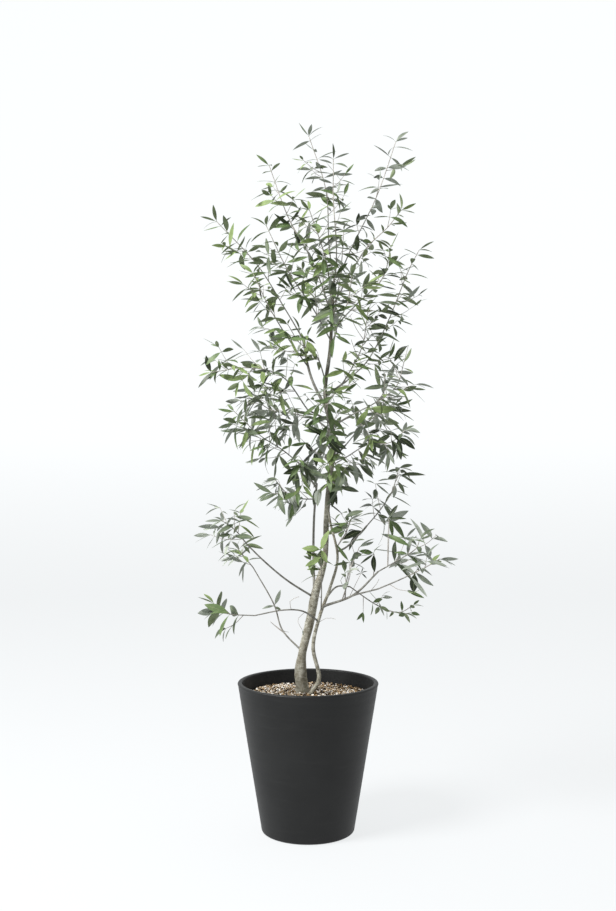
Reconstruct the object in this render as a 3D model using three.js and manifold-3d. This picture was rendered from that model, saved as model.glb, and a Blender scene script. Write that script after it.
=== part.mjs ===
// A potted olive tree: one young tree with a slim second stem, in a dark tapered pot.
// Sizes are in millimetres, with +Z up and the origin at the middle of the pot's underside.
// +X is to the right and -Y to the front, as the tree is usually looked at.
import * as THREE from 'three';
import Module from 'manifold-3d';

const wasm = await Module();
wasm.setup();

// Driving dimensions of the pot and the soil in it
const POT_HEIGHT = 379;
const POT_RIM_RADIUS = 180;
const POT_BASE_RADIUS = 118;
const POT_FOOT_EDGE = 7;
const POT_LIP = 12;
const POT_LIP_EDGE = 4;
const POT_WALL = 9;
const POT_FLOOR = 9;
const POT_SIDES = 36;
const SOIL_TOP = 350;
const SOIL_EDGE_DROP = 6;
const SOIL_LEVEL_RADIUS = 70;

// Two pieces that meet keep this gap
const SEAT = 0.3;

// Cuts leave no detail finer than this
const FINEST = 0.1;

// Facets of the limbs, and how far apart their rings are
const TRUNK_SIDES = 12;
const STEM_SIDES = 8;
const BOUGH_SIDES = 6;
const TWIG_SIDES = 3;
const TRUNK_STEP = 48;
const BOUGH_STEP = 42;
const TWIG_STEP = 75;

// Root flare at the foot of the trunk
const FLARE_HEIGHT = 22;
const FLARE_SPREAD = 0.34;
const FLARE_LOBES = 4;

// Stems that stand in the soil: x, y, z and radius at each place where they bend or swell
const TRUNK = [
  [-13, 10, SOIL_TOP + SEAT, 14],
  [-19, 10, 400, 15.5],
  [-15, 10, 448, 10.5],
  [6, 10, 535, 11.5],
  [18, 10, 600, 11],
  [43, 10, 690, 7],
  [47, 10, 790, 7],
  [56, 9, 900, 7.2],
  [66, 4, 1000, 6.6],
  [44, 0, 1105, 5],
  [57, 0, 1235, 4.4],
  [66, 0, 1400, 3.4],
];
const SECOND_STEM = [
  [6, -15, SOIL_TOP + SEAT, 6.5],
  [28, -12, 385, 5.2],
  [13, -15, 470, 4.8],
  [30, -20, 550, 4.4],
  [56, -26, 622, 3.7],
  [75, -31, 698, 3.2],
  [55, -36, 795, 2.9],
  [47, -30, 860, 2.5],
];

// Boughs: name, what carries it, the share of that one's length where it starts,
// the places it goes through, and its radius at the foot and at the tip
const BOUGHS = [
  ['left_stem', 'trunk', 0.235, [[14, 42, 690], [16, 50, 800], [23, 42, 885]], 3.6, 2.6],
  ['bough_left_middle', 'left_stem', 0.96, [[-21, 30, 935]], 2.4, 2.1],
  ['bough_left_low_front', 'second_stem', 0.37,
    [[-14, -55, 567], [-60, -80, 573], [-132, -100, 562]], 2.3, 1.5],
  ['bough_left_low_back', 'trunk', 0.098, [[-67, 40, 505], [-88, 66, 565], [-145, 100, 660]], 2.4, 1.5],
  ['bough_left_upper', 'trunk', 0.232, [[-54, -22, 641], [-114, -50, 695], [-152, -68, 735]], 2.6, 1.8],
  ['bough_right_low', 'second_stem', 0.445, [[115, -50, 607], [175, -74, 668]], 3.2, 2.3],
  ['bough_right_far', 'bough_right_low', 0.485, [[174, -85, 626]], 2.2, 1.9],
  ['bough_right_low_back', 'second_stem', 0.495, [[74, 2, 622], [108, 22, 619]], 2.5, 1.9],
  ['bough_right_middle', 'second_stem', 0.72, [[100, 0, 724], [147, 42, 768]], 2.6, 2.1],
  ['bough_back_low', 'trunk', 0.47, [[70, 62, 880]], 3, 2.3],
  ['bough_right_back', 'trunk', 0.572, [[98, 34, 985]], 2.7, 2.2],
  ['bough_front', 'trunk', 0.585, [[48, -48, 985]], 2.7, 2.2],
  ['bough_left_front', 'trunk', 0.665, [[0, -32, 1072]], 2.8, 2.2],
  ['bough_left_back', 'trunk', 0.635, [[20, 48, 1052]], 2.7, 2.2],
  ['bough_right_outer', 'trunk', 0.65, [[110, -30, 1060]], 2.8, 2.2],
  ['left_fork', 'trunk', 0.69, [[8, 28, 1160], [-14, 48, 1262]], 4.2, 2.6],
  ['bough_right_upper', 'trunk', 0.725, [[100, 20, 1150]], 2.9, 2.4],
  ['bough_front_upper', 'trunk', 0.8, [[62, -48, 1232]], 2.5, 2.1],
  ['bough_back_upper', 'trunk', 0.845, [[74, 48, 1280]], 2.5, 2.1],
];

// Masses of foliage: name, what carries it, the share of that one's length where it starts,
// the places its stem goes through, the reach of its space round that stem, and its side twigs
const MASSES = [
  ['leaves_left_low', 'bough_left_low_front', 1, [[-190, -106, 566], [-226, -110, 574]], 84, 3],
  ['leaves_left_low_back', 'bough_left_low_back', 1, [[-182, 112, 704]], 76, 3],
  ['leaves_left_upper', 'bough_left_upper', 1, [[-180, -76, 770], [-214, -84, 796]], 92, 3],
  ['leaves_right_low', 'bough_right_low', 1, [[238, -88, 706], [268, -96, 728], [276, -98, 750]], 88, 4],
  ['leaves_right_far', 'bough_right_far', 1, [[225, -115, 652], [285, -136, 684], [320, -146, 706]], 74, 3],
  ['leaves_right_near', 'bough_right_low', 0.35, [[98, -64, 650], [128, -80, 730]], 70, 3],
  ['leaves_right_low_back', 'bough_right_low_back', 1,
    [[185, 60, 564], [242, 84, 544], [278, 90, 562]], 64, 3],
  ['leaves_right_middle', 'bough_right_middle', 1,
    [[190, 76, 815], [222, 96, 862], [242, 106, 925]], 92, 4],
  ['leaves_young_shoot', 'second_stem', 0.415, [[34, -52, 620], [32, -60, 722]], 62, 2],
  ['leaves_stem_low', 'second_stem', 0.74, [[96, -62, 766], [106, -84, 800]], 64, 3],
  ['leaves_stem_end', 'second_stem', 1, [[64, -48, 892], [84, -58, 936]], 84, 4],
  ['leaves_back_low', 'bough_back_low', 1, [[60, 112, 925], [40, 160, 975], [30, 180, 1030]], 100, 3],
  ['leaves_left_inner', 'left_stem', 0.99, [[8, -10, 925], [-6, -50, 932], [-30, -84, 918]], 84, 4],
  ['leaves_left_hanging', 'left_stem', 0.86, [[-22, 0, 848], [-56, -26, 864], [-82, -44, 896]], 80, 4],
  ['leaves_left_middle', 'bough_left_middle', 1,
    [[-63, 8, 970], [-124, -12, 1010], [-188, -24, 1070]], 96, 5],
  ['leaves_left_front', 'bough_left_front', 1,
    [[-66, -70, 1156], [-146, -102, 1174], [-238, -112, 1162]], 92, 5],
  ['leaves_left_back', 'bough_left_back', 1,
    [[-36, 96, 1068], [-105, 128, 1082], [-158, 142, 1130]], 102, 4],
  ['leaves_front', 'bough_front', 1, [[50, -92, 1015], [46, -136, 1058], [40, -164, 1120]], 86, 4],
  ['leaves_right_inner', 'trunk', 0.555,
    [[100, -22, 955], [150, -58, 985], [205, -92, 990], [240, -104, 1020]], 88, 5],
  ['leaves_right_back', 'bough_right_back', 1,
    [[138, 78, 1030], [182, 124, 1066], [222, 146, 1112]], 98, 4],
  ['leaves_right_outer', 'bough_right_outer', 1,
    [[172, -62, 1092], [220, -82, 1130], [238, -88, 1188]], 92, 5],
  ['leaves_right_upper', 'trunk', 0.705, [[100, -44, 1160], [136, -56, 1232], [150, -58, 1320]], 88, 6],
  ['leaves_centre', 'trunk', 0.76, [[20, -34, 1212], [-22, -64, 1240], [-50, -74, 1284]], 84, 4],
  ['leaves_right_shoot', 'bough_right_upper', 1,
    [[152, 26, 1200], [205, 30, 1300], [262, 34, 1440], [288, 34, 1490]], 84, 5],
  ['leaves_right_crown', 'trunk', 0.885, [[125, -4, 1345], [190, -6, 1410], [212, -8, 1490]], 80, 4],
  ['leaves_right_high', 'trunk', 0.945, [[150, 8, 1490], [205, 16, 1545], [240, 20, 1590]], 78, 3],
  ['leaves_front_upper', 'bough_front_upper', 1,
    [[74, -90, 1282], [98, -136, 1335], [106, -160, 1392]], 86, 4],
  ['leaves_back_upper', 'bough_back_upper', 1, [[62, 92, 1330], [46, 140, 1390], [40, 160, 1460]], 98, 4],
  ['leaves_left_shoulder', 'left_fork', 0.62,
    [[-50, -14, 1255], [-98, -38, 1332], [-138, -44, 1416]], 84, 4],
  ['leaves_left_crown', 'left_fork', 1, [[-60, 52, 1340], [-130, 40, 1450], [-235, 18, 1560]], 92, 4],
  ['leaves_left_tall', 'trunk', 0.915, [[16, -24, 1440], [-50, -36, 1560], [-98, -36, 1690]], 86, 4],
  ['leaves_left_high', 'trunk', 0.86, [[12, -38, 1330], [-50, -64, 1420], [-104, -76, 1530]], 84, 4],
  ['leaves_top_centre', 'trunk', 0.965, [[72, -40, 1470], [64, -44, 1600], [64, -42, 1705]], 60, 3],
  ['leaves_top_right', 'trunk', 0.978, [[110, 40, 1490], [178, 44, 1630], [228, 40, 1772]], 74, 4],
  ['leaves_front_tall', 'trunk', 0.93, [[46, -70, 1440], [4, -114, 1560]], 88, 4],
  ['leaves_back_tall', 'trunk', 0.9, [[84, 76, 1420], [96, 124, 1560]], 88, 3],
  ['leaves_leader', 'trunk', 1, [[54, 14, 1500], [46, 14, 1640], [2, 8, 1778]], 74, 4],
];

// The rule that every mass grows by. Tilts and turns are in radians.
const GROWTH = {
  seed: 31,
  stemRadius: 2,
  twigRadius: 1,
  tipRadius: 0.9,
  // Side twigs: where they start along the stem, how they turn round it, slant off it, and how long they are
  firstTwig: 0.16,
  twigSpan: 0.74,
  twigJitter: 0.7,
  twigTurn: 2.4,
  twigTurnLoose: 0.8,
  twigTilt: 0.8,
  twigTiltLoose: 0.35,
  twigLength: 0.75,
  twigLengthLoose: 0.3,
  twigShortening: 0.4,
  twigLift: 0.16,
  tries: 5,
  retryTurn: 1.25,
  // Leaves: where they start along a twig, how far apart pairs are, and each one's size and set
  bareShare: 0.28,
  internode: 48,
  leafLength: 80,
  leafWidth: 23,
  leafSize: 0.8,
  leafSizeLoose: 0.35,
  leafWidest: 0.47,
  leafSag: 0.75,
  leafTilt: 1.1,
  leafTiltLoose: 0.35,
  leafTurnLoose: 0.7,
  leafTurns: [0, 0.6, -0.6, 1.2, -1.2],
  // Leaves hang most at the height of the crown's foot, and less over the band above and below it
  leafLevel: 0.6,
  leafHang: 0.4,
  footHang: 0.6,
  footHeight: 930,
  footBand: 150,
  leafRoll: 1.6,
  leafFaceUp: 0.7,
  rootWidth: 0.7,
  rootDepth: 0.1,
  // Gaps that a twig or leaf keeps to limbs, to other masses, and to its own mass's twigs and leaves
  limbGap: 2,
  spaceGap: 1.5,
  twigGap: 5,
  leafGap: 10,
};

// The draws that a twig or a leaf makes, each with its own key
const PICK = { place: 0, turn: 1, tilt: 2, size: 3, hang: 4, roll: 5, firstLeaf: 40, tipLeaf: 41, pairs: 50 };

const UP = new THREE.Vector3(0, 0, 1);

const BARK = new THREE.MeshStandardMaterial({ color: 0x8c8577, roughness: 0.9, metalness: 0 });
const LEAF = new THREE.MeshStandardMaterial({ color: 0x5d7350, roughness: 0.6, metalness: 0 });
const POT_SKIN = new THREE.MeshStandardMaterial({ color: 0x333536, roughness: 0.6, metalness: 0 });
const GRIT = new THREE.MeshStandardMaterial({ color: 0x9a8873, roughness: 1, metalness: 0 });

// A number from 0 to 1 that is always the same for the same keys
function chance(...keys) {
  let hash = GROWTH.seed;
  for (const key of keys) {
    hash = Math.imul(hash ^ (key + 40503), 0x85ebca6b);
    hash ^= hash >>> 13;
    hash = Math.imul(hash, 0xc2b2ae35);
    hash ^= hash >>> 16;
  }
  return (hash >>> 0) / 4294967296;
}

// A closed surface from shared points and triangles
function surface(points, triangles) {
  const geometry = new THREE.BufferGeometry();
  geometry.setAttribute('position', new THREE.Float32BufferAttribute(points.flatMap((p) => p.toArray()), 3));
  geometry.setIndex(triangles);
  return geometry;
}

function toSolid(geometry) {
  const mesh = new wasm.Mesh({
    numProp: 3,
    vertProperties: new Float32Array(geometry.attributes.position.array),
    triVerts: new Uint32Array(geometry.index.array),
  });
  return new wasm.Manifold(mesh);
}

// The largest body of a solid as a geometry: what a cut leaves loose is dropped
function toGeometry(solid) {
  const bodies = solid.simplify(FINEST).decompose().sort((a, b) => b.volume() - a.volume());
  const mesh = bodies[0].getMesh();
  const geometry = new THREE.BufferGeometry();
  geometry.setAttribute('position', new THREE.BufferAttribute(mesh.vertProperties, 3));
  geometry.setIndex(new THREE.BufferAttribute(mesh.triVerts, 1));
  geometry.computeVertexNormals();
  return geometry;
}

// A limb's line through its places, with its radius between them
function makeLimb(places, radii, step) {
  const curve = new THREE.CatmullRomCurve3(places, false, 'centripetal');
  const spans = places.length - 1;
  const rings = Math.max(2, Math.round(curve.getLength() / step) + 1);
  const points = [];
  const widths = [];
  for (let i = 0; i < rings; i += 1) {
    const share = i / (rings - 1);
    const t = curve.getUtoTmapping(share);
    const span = Math.min(Math.floor(t * spans), spans - 1);
    points.push(curve.getPoint(t));
    widths.push(THREE.MathUtils.lerp(radii[span], radii[span + 1], t * spans - span));
  }
  return { points, widths, length: curve.getLength() };
}

// The place and the direction at a share of a limb's length, on the line of its tube
function pointOn(limb, share) {
  const last = limb.points.length - 1;
  const span = Math.min(Math.floor(share * last), last - 1);
  return limb.points[span].clone().lerp(limb.points[span + 1], share * last - span);
}

function wayOn(limb, share) {
  const last = limb.points.length - 1;
  const span = Math.min(Math.floor(share * last), last - 1);
  return limb.points[span + 1].clone().sub(limb.points[span]).normalize();
}

// Radii that fall evenly from foot to tip, one for each place
function evenTaper(places, foot, tip) {
  return places.map((_, i) => THREE.MathUtils.lerp(foot, tip, i / (places.length - 1)));
}

// The tube of a limb with flat ends. A limb that stands in the soil has a level foot.
function limbGeometry(limb, sides, { grow = 0, standing = false, flare = 0 } = {}) {
  const { points, widths } = limb;
  const last = points.length - 1;
  const ringPoints = [];
  const across = new THREE.Vector3(1, 0, 0);
  for (let i = 0; i <= last; i += 1) {
    const along = points[Math.min(i + 1, last)].clone().sub(points[Math.max(i - 1, 0)]).normalize();
    if (i === 0 && standing) along.copy(UP);
    across.addScaledVector(along, -across.dot(along)).normalize();
    const side = along.clone().cross(across);
    const centre = points[i].clone();
    if (i === last) centre.addScaledVector(along, grow);
    if (i === 0) centre.addScaledVector(along, -grow);
    const swell = flare * Math.exp((points[0].z - points[i].z) / FLARE_HEIGHT);
    for (let j = 0; j < sides; j += 1) {
      const angle = (2 * Math.PI * j) / sides;
      const lobe = 1 + swell * (0.6 + 0.4 * Math.cos(FLARE_LOBES * angle));
      const radius = widths[i] * lobe + grow;
      ringPoints.push(centre.clone()
        .addScaledVector(across, radius * Math.cos(angle))
        .addScaledVector(side, radius * Math.sin(angle)));
    }
  }
  const triangles = [];
  for (let i = 0; i < last; i += 1) {
    for (let j = 0; j < sides; j += 1) {
      const a = i * sides + j;
      const b = i * sides + ((j + 1) % sides);
      triangles.push(a, b, b + sides, a, b + sides, a + sides);
    }
  }
  for (let j = 1; j < sides - 1; j += 1) {
    triangles.push(0, j + 1, j);
    triangles.push(last * sides, last * sides + j, last * sides + j + 1);
  }
  return surface(ringPoints, triangles);
}

// A leaf of eight faces: a ridge above, two edges, a flat back, and a root sunk in its twig
function leafGeometry(leaf) {
  const { root, along, face, length, width } = leaf;
  const side = along.clone().cross(face).normalize();
  const at = (forward, sideways, up) => root.clone()
    .addScaledVector(along, forward)
    .addScaledVector(side, sideways)
    .addScaledVector(face, up);
  const half = GROWTH.rootWidth / 2;
  const points = [
    at(-GROWTH.rootDepth, 0, -half),
    at(-GROWTH.rootDepth, half, half),
    at(-GROWTH.rootDepth, -half, half),
    at(GROWTH.leafWidest * length, width / 2, -GROWTH.leafSag),
    at(length, 0, -GROWTH.leafSag),
    at(GROWTH.leafWidest * length, -width / 2, -GROWTH.leafSag),
  ];
  const triangles = [0, 2, 1, 1, 2, 4, 1, 4, 3, 2, 5, 4, 3, 4, 5, 0, 3, 5, 0, 1, 3, 0, 5, 2];
  return surface(points, triangles.reverse());
}

// How far a place is from a limb's centre line, and the limb's radius there
function nearest(place, limb) {
  let best = { distance: Infinity, radius: 0 };
  const segment = new THREE.Line3();
  const foot = new THREE.Vector3();
  for (let i = 0; i < limb.points.length - 1; i += 1) {
    segment.set(limb.points[i], limb.points[i + 1]);
    const share = segment.closestPointToPointParameter(place, true);
    const distance = segment.at(share, foot).distanceTo(place);
    if (distance < best.distance) {
      best = { distance, radius: THREE.MathUtils.lerp(limb.widths[i], limb.widths[i + 1], share) };
    }
  }
  return best;
}

// Every limb by name: the two stems, the boughs, and the stems of the masses
const limbs = new Map();
const spaces = new Map();

function addStem(name, stations) {
  const places = stations.map(([x, y, z]) => new THREE.Vector3(x, y, z));
  limbs.set(name, makeLimb(places, stations.map((s) => s[3]), TRUNK_STEP));
}

function placesFrom(parent, share, list) {
  const start = pointOn(limbs.get(parent), share);
  return [start, ...list.map(([x, y, z]) => new THREE.Vector3(x, y, z))];
}

function addBough([name, parent, share, list, foot, tip]) {
  const places = placesFrom(parent, share, list);
  limbs.set(name, makeLimb(places, evenTaper(places, foot, tip), BOUGH_STEP));
}

function addSpace([name, parent, share, list, reach, twigs], order) {
  const places = placesFrom(parent, share, list);
  const radii = evenTaper(places, GROWTH.stemRadius, GROWTH.tipRadius);
  spaces.set(name, { stem: makeLimb(places, radii, TWIG_STEP), reach, twigs, order });
}

// A mass's own space: nearer to its stem than to any other, counted from each one's reach
function isFree(place, own) {
  const depth = nearest(place, own.stem).distance - own.reach;
  if (depth > 0) return false;
  for (const other of spaces.values()) {
    if (other === own) continue;
    if (nearest(place, other.stem).distance - other.reach < depth + 2 * GROWTH.spaceGap) return false;
  }
  for (const limb of limbs.values()) {
    const near = nearest(place, limb);
    if (near.distance < near.radius + GROWTH.limbGap) return false;
  }
  return true;
}

// Two directions square to a limb's own
function crossways(along) {
  const first = new THREE.Vector3(along.y, -along.x, 0.01).cross(along).normalize();
  return [first, along.clone().cross(first)];
}

function slant(along, tilt, turn) {
  const [first, second] = crossways(along);
  return along.clone().multiplyScalar(Math.cos(tilt))
    .addScaledVector(first, Math.sin(tilt) * Math.cos(turn))
    .addScaledVector(second, Math.sin(tilt) * Math.sin(turn));
}

// One side twig: it leaves the stem at a slant and bends up a little
function sideTwig(space, twig, attempt) {
  const draw = (item) => chance(space.order, twig, attempt, item);
  const step = (twig - 1 + GROWTH.twigJitter * draw(PICK.place)) / space.twigs;
  const share = GROWTH.firstTwig + GROWTH.twigSpan * step;
  const start = pointOn(space.stem, share);
  const turn = GROWTH.twigTurn * twig + GROWTH.retryTurn * attempt + GROWTH.twigTurnLoose * draw(PICK.turn);
  const tilt = GROWTH.twigTilt + GROWTH.twigTiltLoose * draw(PICK.tilt);
  const way = slant(wayOn(space.stem, share), tilt, turn);
  const size = GROWTH.twigLength + GROWTH.twigLengthLoose * draw(PICK.size);
  const length = space.reach * (1 - GROWTH.twigShortening * share) * size;
  const middle = start.clone().addScaledVector(way, 0.5 * length);
  const end = start.clone().addScaledVector(way, length).addScaledVector(UP, GROWTH.twigLift * length);
  const places = [start, middle, end];
  return makeLimb(places, evenTaper(places, GROWTH.twigRadius, GROWTH.tipRadius), TWIG_STEP);
}

// A leaf lies nearly level, or hangs where it is near the crown's foot. It faces up and to the twig's tip,
// and is rolled to one side.
function shapeLeaf(root, way, towards, size, hang, roll) {
  const atFoot = Math.exp(-(((root.z - GROWTH.footHeight) / GROWTH.footBand) ** 2));
  const drop = (GROWTH.leafHang + GROWTH.footHang * atFoot) * hang;
  const along = new THREE.Vector3(way.x, way.y, way.z * GROWTH.leafLevel - drop).normalize();
  const face = UP.clone().multiplyScalar(GROWTH.leafFaceUp).add(towards);
  face.addScaledVector(along, -face.dot(along)).normalize();
  face.applyAxisAngle(along, GROWTH.leafRoll * (roll - 0.5));
  return { root, along, face, length: GROWTH.leafLength * size, width: GROWTH.leafWidth * size };
}

// One of a pair of leaves, in each of the turns that it may take
function pairLeaf(space, twig, pair, half, root, towards) {
  const draw = (item) => chance(space.order, twig, PICK.pairs + pair, half, item);
  const first = 3 * chance(space.order, twig, PICK.firstLeaf);
  const turn = first + (Math.PI / 2) * (pair + 2 * half) + GROWTH.leafTurnLoose * draw(PICK.turn);
  const tilt = GROWTH.leafTilt + GROWTH.leafTiltLoose * draw(PICK.tilt);
  const size = GROWTH.leafSize + GROWTH.leafSizeLoose * draw(PICK.size);
  return GROWTH.leafTurns.map((more) => {
    const way = slant(towards, tilt, turn + more);
    return shapeLeaf(root, way, towards, size, draw(PICK.hang), draw(PICK.roll));
  });
}

// Pairs of leaves up a twig, each pair square to the last, and one leaf at its tip
function leavesOn(twigLimb, space, twig) {
  const leafy = 1 - GROWTH.bareShare;
  const pairs = Math.max(1, Math.round((twigLimb.length * leafy) / GROWTH.internode));
  const leaves = [];
  for (let pair = 0; pair < pairs; pair += 1) {
    const share = GROWTH.bareShare + leafy * ((pair + 0.5) / pairs);
    const root = pointOn(twigLimb, share);
    const towards = wayOn(twigLimb, share);
    leaves.push(pairLeaf(space, twig, pair, 0, root, towards));
    leaves.push(pairLeaf(space, twig, pair, 1, root, towards));
  }
  const end = pointOn(twigLimb, 1);
  const along = wayOn(twigLimb, 1);
  const side = slant(along, Math.PI / 2, 2 * Math.PI * chance(space.order, twig, PICK.tipLeaf));
  leaves.push([shapeLeaf(end, along, side, GROWTH.leafSize, 0.5, 0.5)]);
  return leaves;
}

// Places over a leaf, from near its root to its tip, with its two edges
function leafPlaces(leaf) {
  const side = leaf.along.clone().cross(leaf.face);
  const rib = [0.3, 0.4, 0.5, 0.6, 0.7, 0.8, 0.9, 1].map((forward) => [forward, 0]);
  const edges = [[GROWTH.leafWidest, 0.5], [GROWTH.leafWidest, -0.5], [0.75, 0.25], [0.75, -0.25]];
  return [...rib, ...edges].map(([forward, sideways]) => leaf.root.clone()
    .addScaledVector(leaf.along, forward * leaf.length)
    .addScaledVector(side, sideways * leaf.width));
}

// A leaf keeps to its mass's space, and off the twigs and the leaves that are there already
function leafIsFree(places, space, twigs, leaves) {
  return places.every((place) => isFree(place, space)
    && twigs.every((twig) => nearest(place, twig).distance > GROWTH.twigGap)
    && leaves.every((leaf) => leaf.every((other) => other.distanceTo(place) > GROWTH.leafGap)));
}

function twigIsFree(twigLimb, space) {
  const shares = [0.2, 0.3, 0.4, 0.5, 0.6, 0.7, 0.8, 0.9, 1];
  return shares.every((share) => isFree(pointOn(twigLimb, share), space));
}

// One mass: its stem, the side twigs and leaves that keep to its space, fused in one
function massGeometry(space, parent) {
  const twigs = [space.stem];
  for (let twig = 1; twig <= space.twigs; twig += 1) {
    for (let attempt = 0; attempt < GROWTH.tries; attempt += 1) {
      const candidate = sideTwig(space, twig, attempt);
      if (twigIsFree(candidate, space)) {
        twigs.push(candidate);
        break;
      }
    }
  }
  const pieces = twigs.map((twig) => toSolid(limbGeometry(twig, TWIG_SIDES)));
  const placed = [];
  twigs.forEach((twig, i) => {
    for (const choices of leavesOn(twig, space, i)) {
      const leaf = choices.find((choice) => leafIsFree(leafPlaces(choice), space, twigs, placed));
      if (leaf) {
        pieces.push(toSolid(leafGeometry(leaf)));
        placed.push(leafPlaces(leaf));
      }
    }
  });
  return cutClear(wasm.Manifold.union(pieces), parent);
}

function sidesOf(name) {
  if (name === 'trunk') return TRUNK_SIDES;
  return name.includes('stem') ? STEM_SIDES : BOUGH_SIDES;
}

function stemOptions(name) {
  return { standing: name === 'trunk' || name === 'second_stem', flare: name === 'trunk' ? FLARE_SPREAD : 0 };
}

// Cuts a piece back from the limb that carries it, by the seat's gap
function cutClear(solid, parent) {
  const options = { ...stemOptions(parent), grow: SEAT };
  return toGeometry(solid.subtract(toSolid(limbGeometry(limbs.get(parent), sidesOf(parent), options))));
}

function lathe(profile) {
  const geometry = new THREE.LatheGeometry(profile.map(([r, z]) => new THREE.Vector2(r, z)), POT_SIDES);
  return geometry.rotateX(Math.PI / 2);
}

function arc(centreRadius, centreZ, radius, from, to, steps) {
  const points = [];
  for (let i = 0; i <= steps; i += 1) {
    const angle = THREE.MathUtils.degToRad(from + ((to - from) * i) / steps);
    points.push([centreRadius + radius * Math.cos(angle), centreZ + radius * Math.sin(angle)]);
  }
  return points;
}

// The pot's outer and inner radius at a height
function outerRadius(z) {
  return POT_BASE_RADIUS + ((POT_RIM_RADIUS - POT_BASE_RADIUS) * z) / POT_HEIGHT;
}

function innerRadius(z) {
  return outerRadius(z) - POT_WALL;
}

function potGeometry() {
  const lipInner = POT_RIM_RADIUS - POT_LIP;
  const foot = outerRadius(POT_FOOT_EDGE) - POT_FOOT_EDGE;
  const profile = [
    [0, 0],
    ...arc(foot, POT_FOOT_EDGE, POT_FOOT_EDGE, -90, 0, 3),
    ...arc(POT_RIM_RADIUS - POT_LIP_EDGE, POT_HEIGHT - POT_LIP_EDGE, POT_LIP_EDGE, 0, 90, 2),
    ...arc(lipInner + POT_LIP_EDGE, POT_HEIGHT - POT_LIP_EDGE, POT_LIP_EDGE, 90, 180, 2),
    [innerRadius(POT_FLOOR), POT_FLOOR],
    [0, POT_FLOOR],
  ];
  return lathe(profile);
}

function soilGeometry() {
  const edgeZ = SOIL_TOP - SOIL_EDGE_DROP;
  const lipZ = POT_HEIGHT - POT_LIP_EDGE;
  const wallSlope = (POT_RIM_RADIUS - POT_LIP - innerRadius(POT_FLOOR)) / (lipZ - POT_FLOOR);
  const wallAt = (z) => innerRadius(POT_FLOOR) + wallSlope * (z - POT_FLOOR) - SEAT;
  const profile = [
    [0, POT_FLOOR + SEAT],
    [wallAt(POT_FLOOR + SEAT), POT_FLOOR + SEAT],
    [wallAt(edgeZ), edgeZ],
    [SOIL_LEVEL_RADIUS, SOIL_TOP],
    [0, SOIL_TOP],
  ];
  return lathe(profile);
}

const tree = new THREE.Group();

function addPiece(name, geometry, material) {
  const mesh = new THREE.Mesh(geometry, material);
  mesh.name = name;
  tree.add(mesh);
}

addStem('trunk', TRUNK);
addStem('second_stem', SECOND_STEM);
BOUGHS.forEach(addBough);
MASSES.forEach(addSpace);

addPiece('pot', potGeometry(), POT_SKIN);
addPiece('soil', soilGeometry(), GRIT);
for (const name of ['trunk', 'second_stem']) {
  addPiece(name, limbGeometry(limbs.get(name), sidesOf(name), stemOptions(name)), BARK);
}
for (const [name, parent] of BOUGHS) {
  const tube = toSolid(limbGeometry(limbs.get(name), sidesOf(name)));
  addPiece(name, cutClear(tube, parent), BARK);
}
for (const [name, parent] of MASSES) {
  addPiece(name, massGeometry(spaces.get(name), parent), LEAF);
}

export default tree;
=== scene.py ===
import math

import bpy
import numpy as np
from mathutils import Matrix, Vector, noise


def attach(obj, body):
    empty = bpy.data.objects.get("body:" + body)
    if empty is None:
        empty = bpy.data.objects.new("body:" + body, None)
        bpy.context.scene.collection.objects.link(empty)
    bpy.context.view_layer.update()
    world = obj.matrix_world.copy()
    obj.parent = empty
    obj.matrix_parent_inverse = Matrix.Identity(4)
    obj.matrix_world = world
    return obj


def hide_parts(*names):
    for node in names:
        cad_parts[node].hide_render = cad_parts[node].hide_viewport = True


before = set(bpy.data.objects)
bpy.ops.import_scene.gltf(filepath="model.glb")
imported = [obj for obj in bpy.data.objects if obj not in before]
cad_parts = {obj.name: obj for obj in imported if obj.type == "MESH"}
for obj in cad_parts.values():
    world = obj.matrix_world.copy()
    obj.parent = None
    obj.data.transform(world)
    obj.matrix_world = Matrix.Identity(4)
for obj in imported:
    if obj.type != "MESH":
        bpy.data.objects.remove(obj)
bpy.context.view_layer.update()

# The tree's shape is worked out in millimetres, as its source is, and made in metres
MM = 0.001

# The pot and the soil
POT_HEIGHT = 379
POT_RIM_RADIUS = 180
POT_BASE_RADIUS = 118
POT_FOOT_EDGE = 7
POT_LIP = 12
POT_LIP_EDGE = 4
POT_WALL = 9
POT_FLOOR = 9
SOIL_TOP = 350
SOIL_EDGE_DROP = 6
SOIL_LEVEL_RADIUS = 70

# Stems that stand in the soil: x, y, z and radius at each place where they bend or swell
TRUNK = [
    (-13, 10, SOIL_TOP, 14),
    (-19, 10, 400, 15.5),
    (-15, 10, 448, 10.5),
    (6, 10, 535, 11.5),
    (18, 10, 600, 11),
    (43, 10, 690, 7),
    (47, 10, 790, 7),
    (56, 9, 900, 7.2),
    (66, 4, 1000, 6.6),
    (44, 0, 1105, 5),
    (57, 0, 1235, 4.4),
    (66, 0, 1400, 3.4),
]
SECOND_STEM = [
    (6, -15, SOIL_TOP, 6.5),
    (28, -12, 385, 5.2),
    (13, -15, 470, 4.8),
    (30, -20, 550, 4.4),
    (56, -26, 622, 3.7),
    (75, -31, 698, 3.2),
    (55, -36, 795, 2.9),
    (47, -30, 860, 2.5),
]

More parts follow.
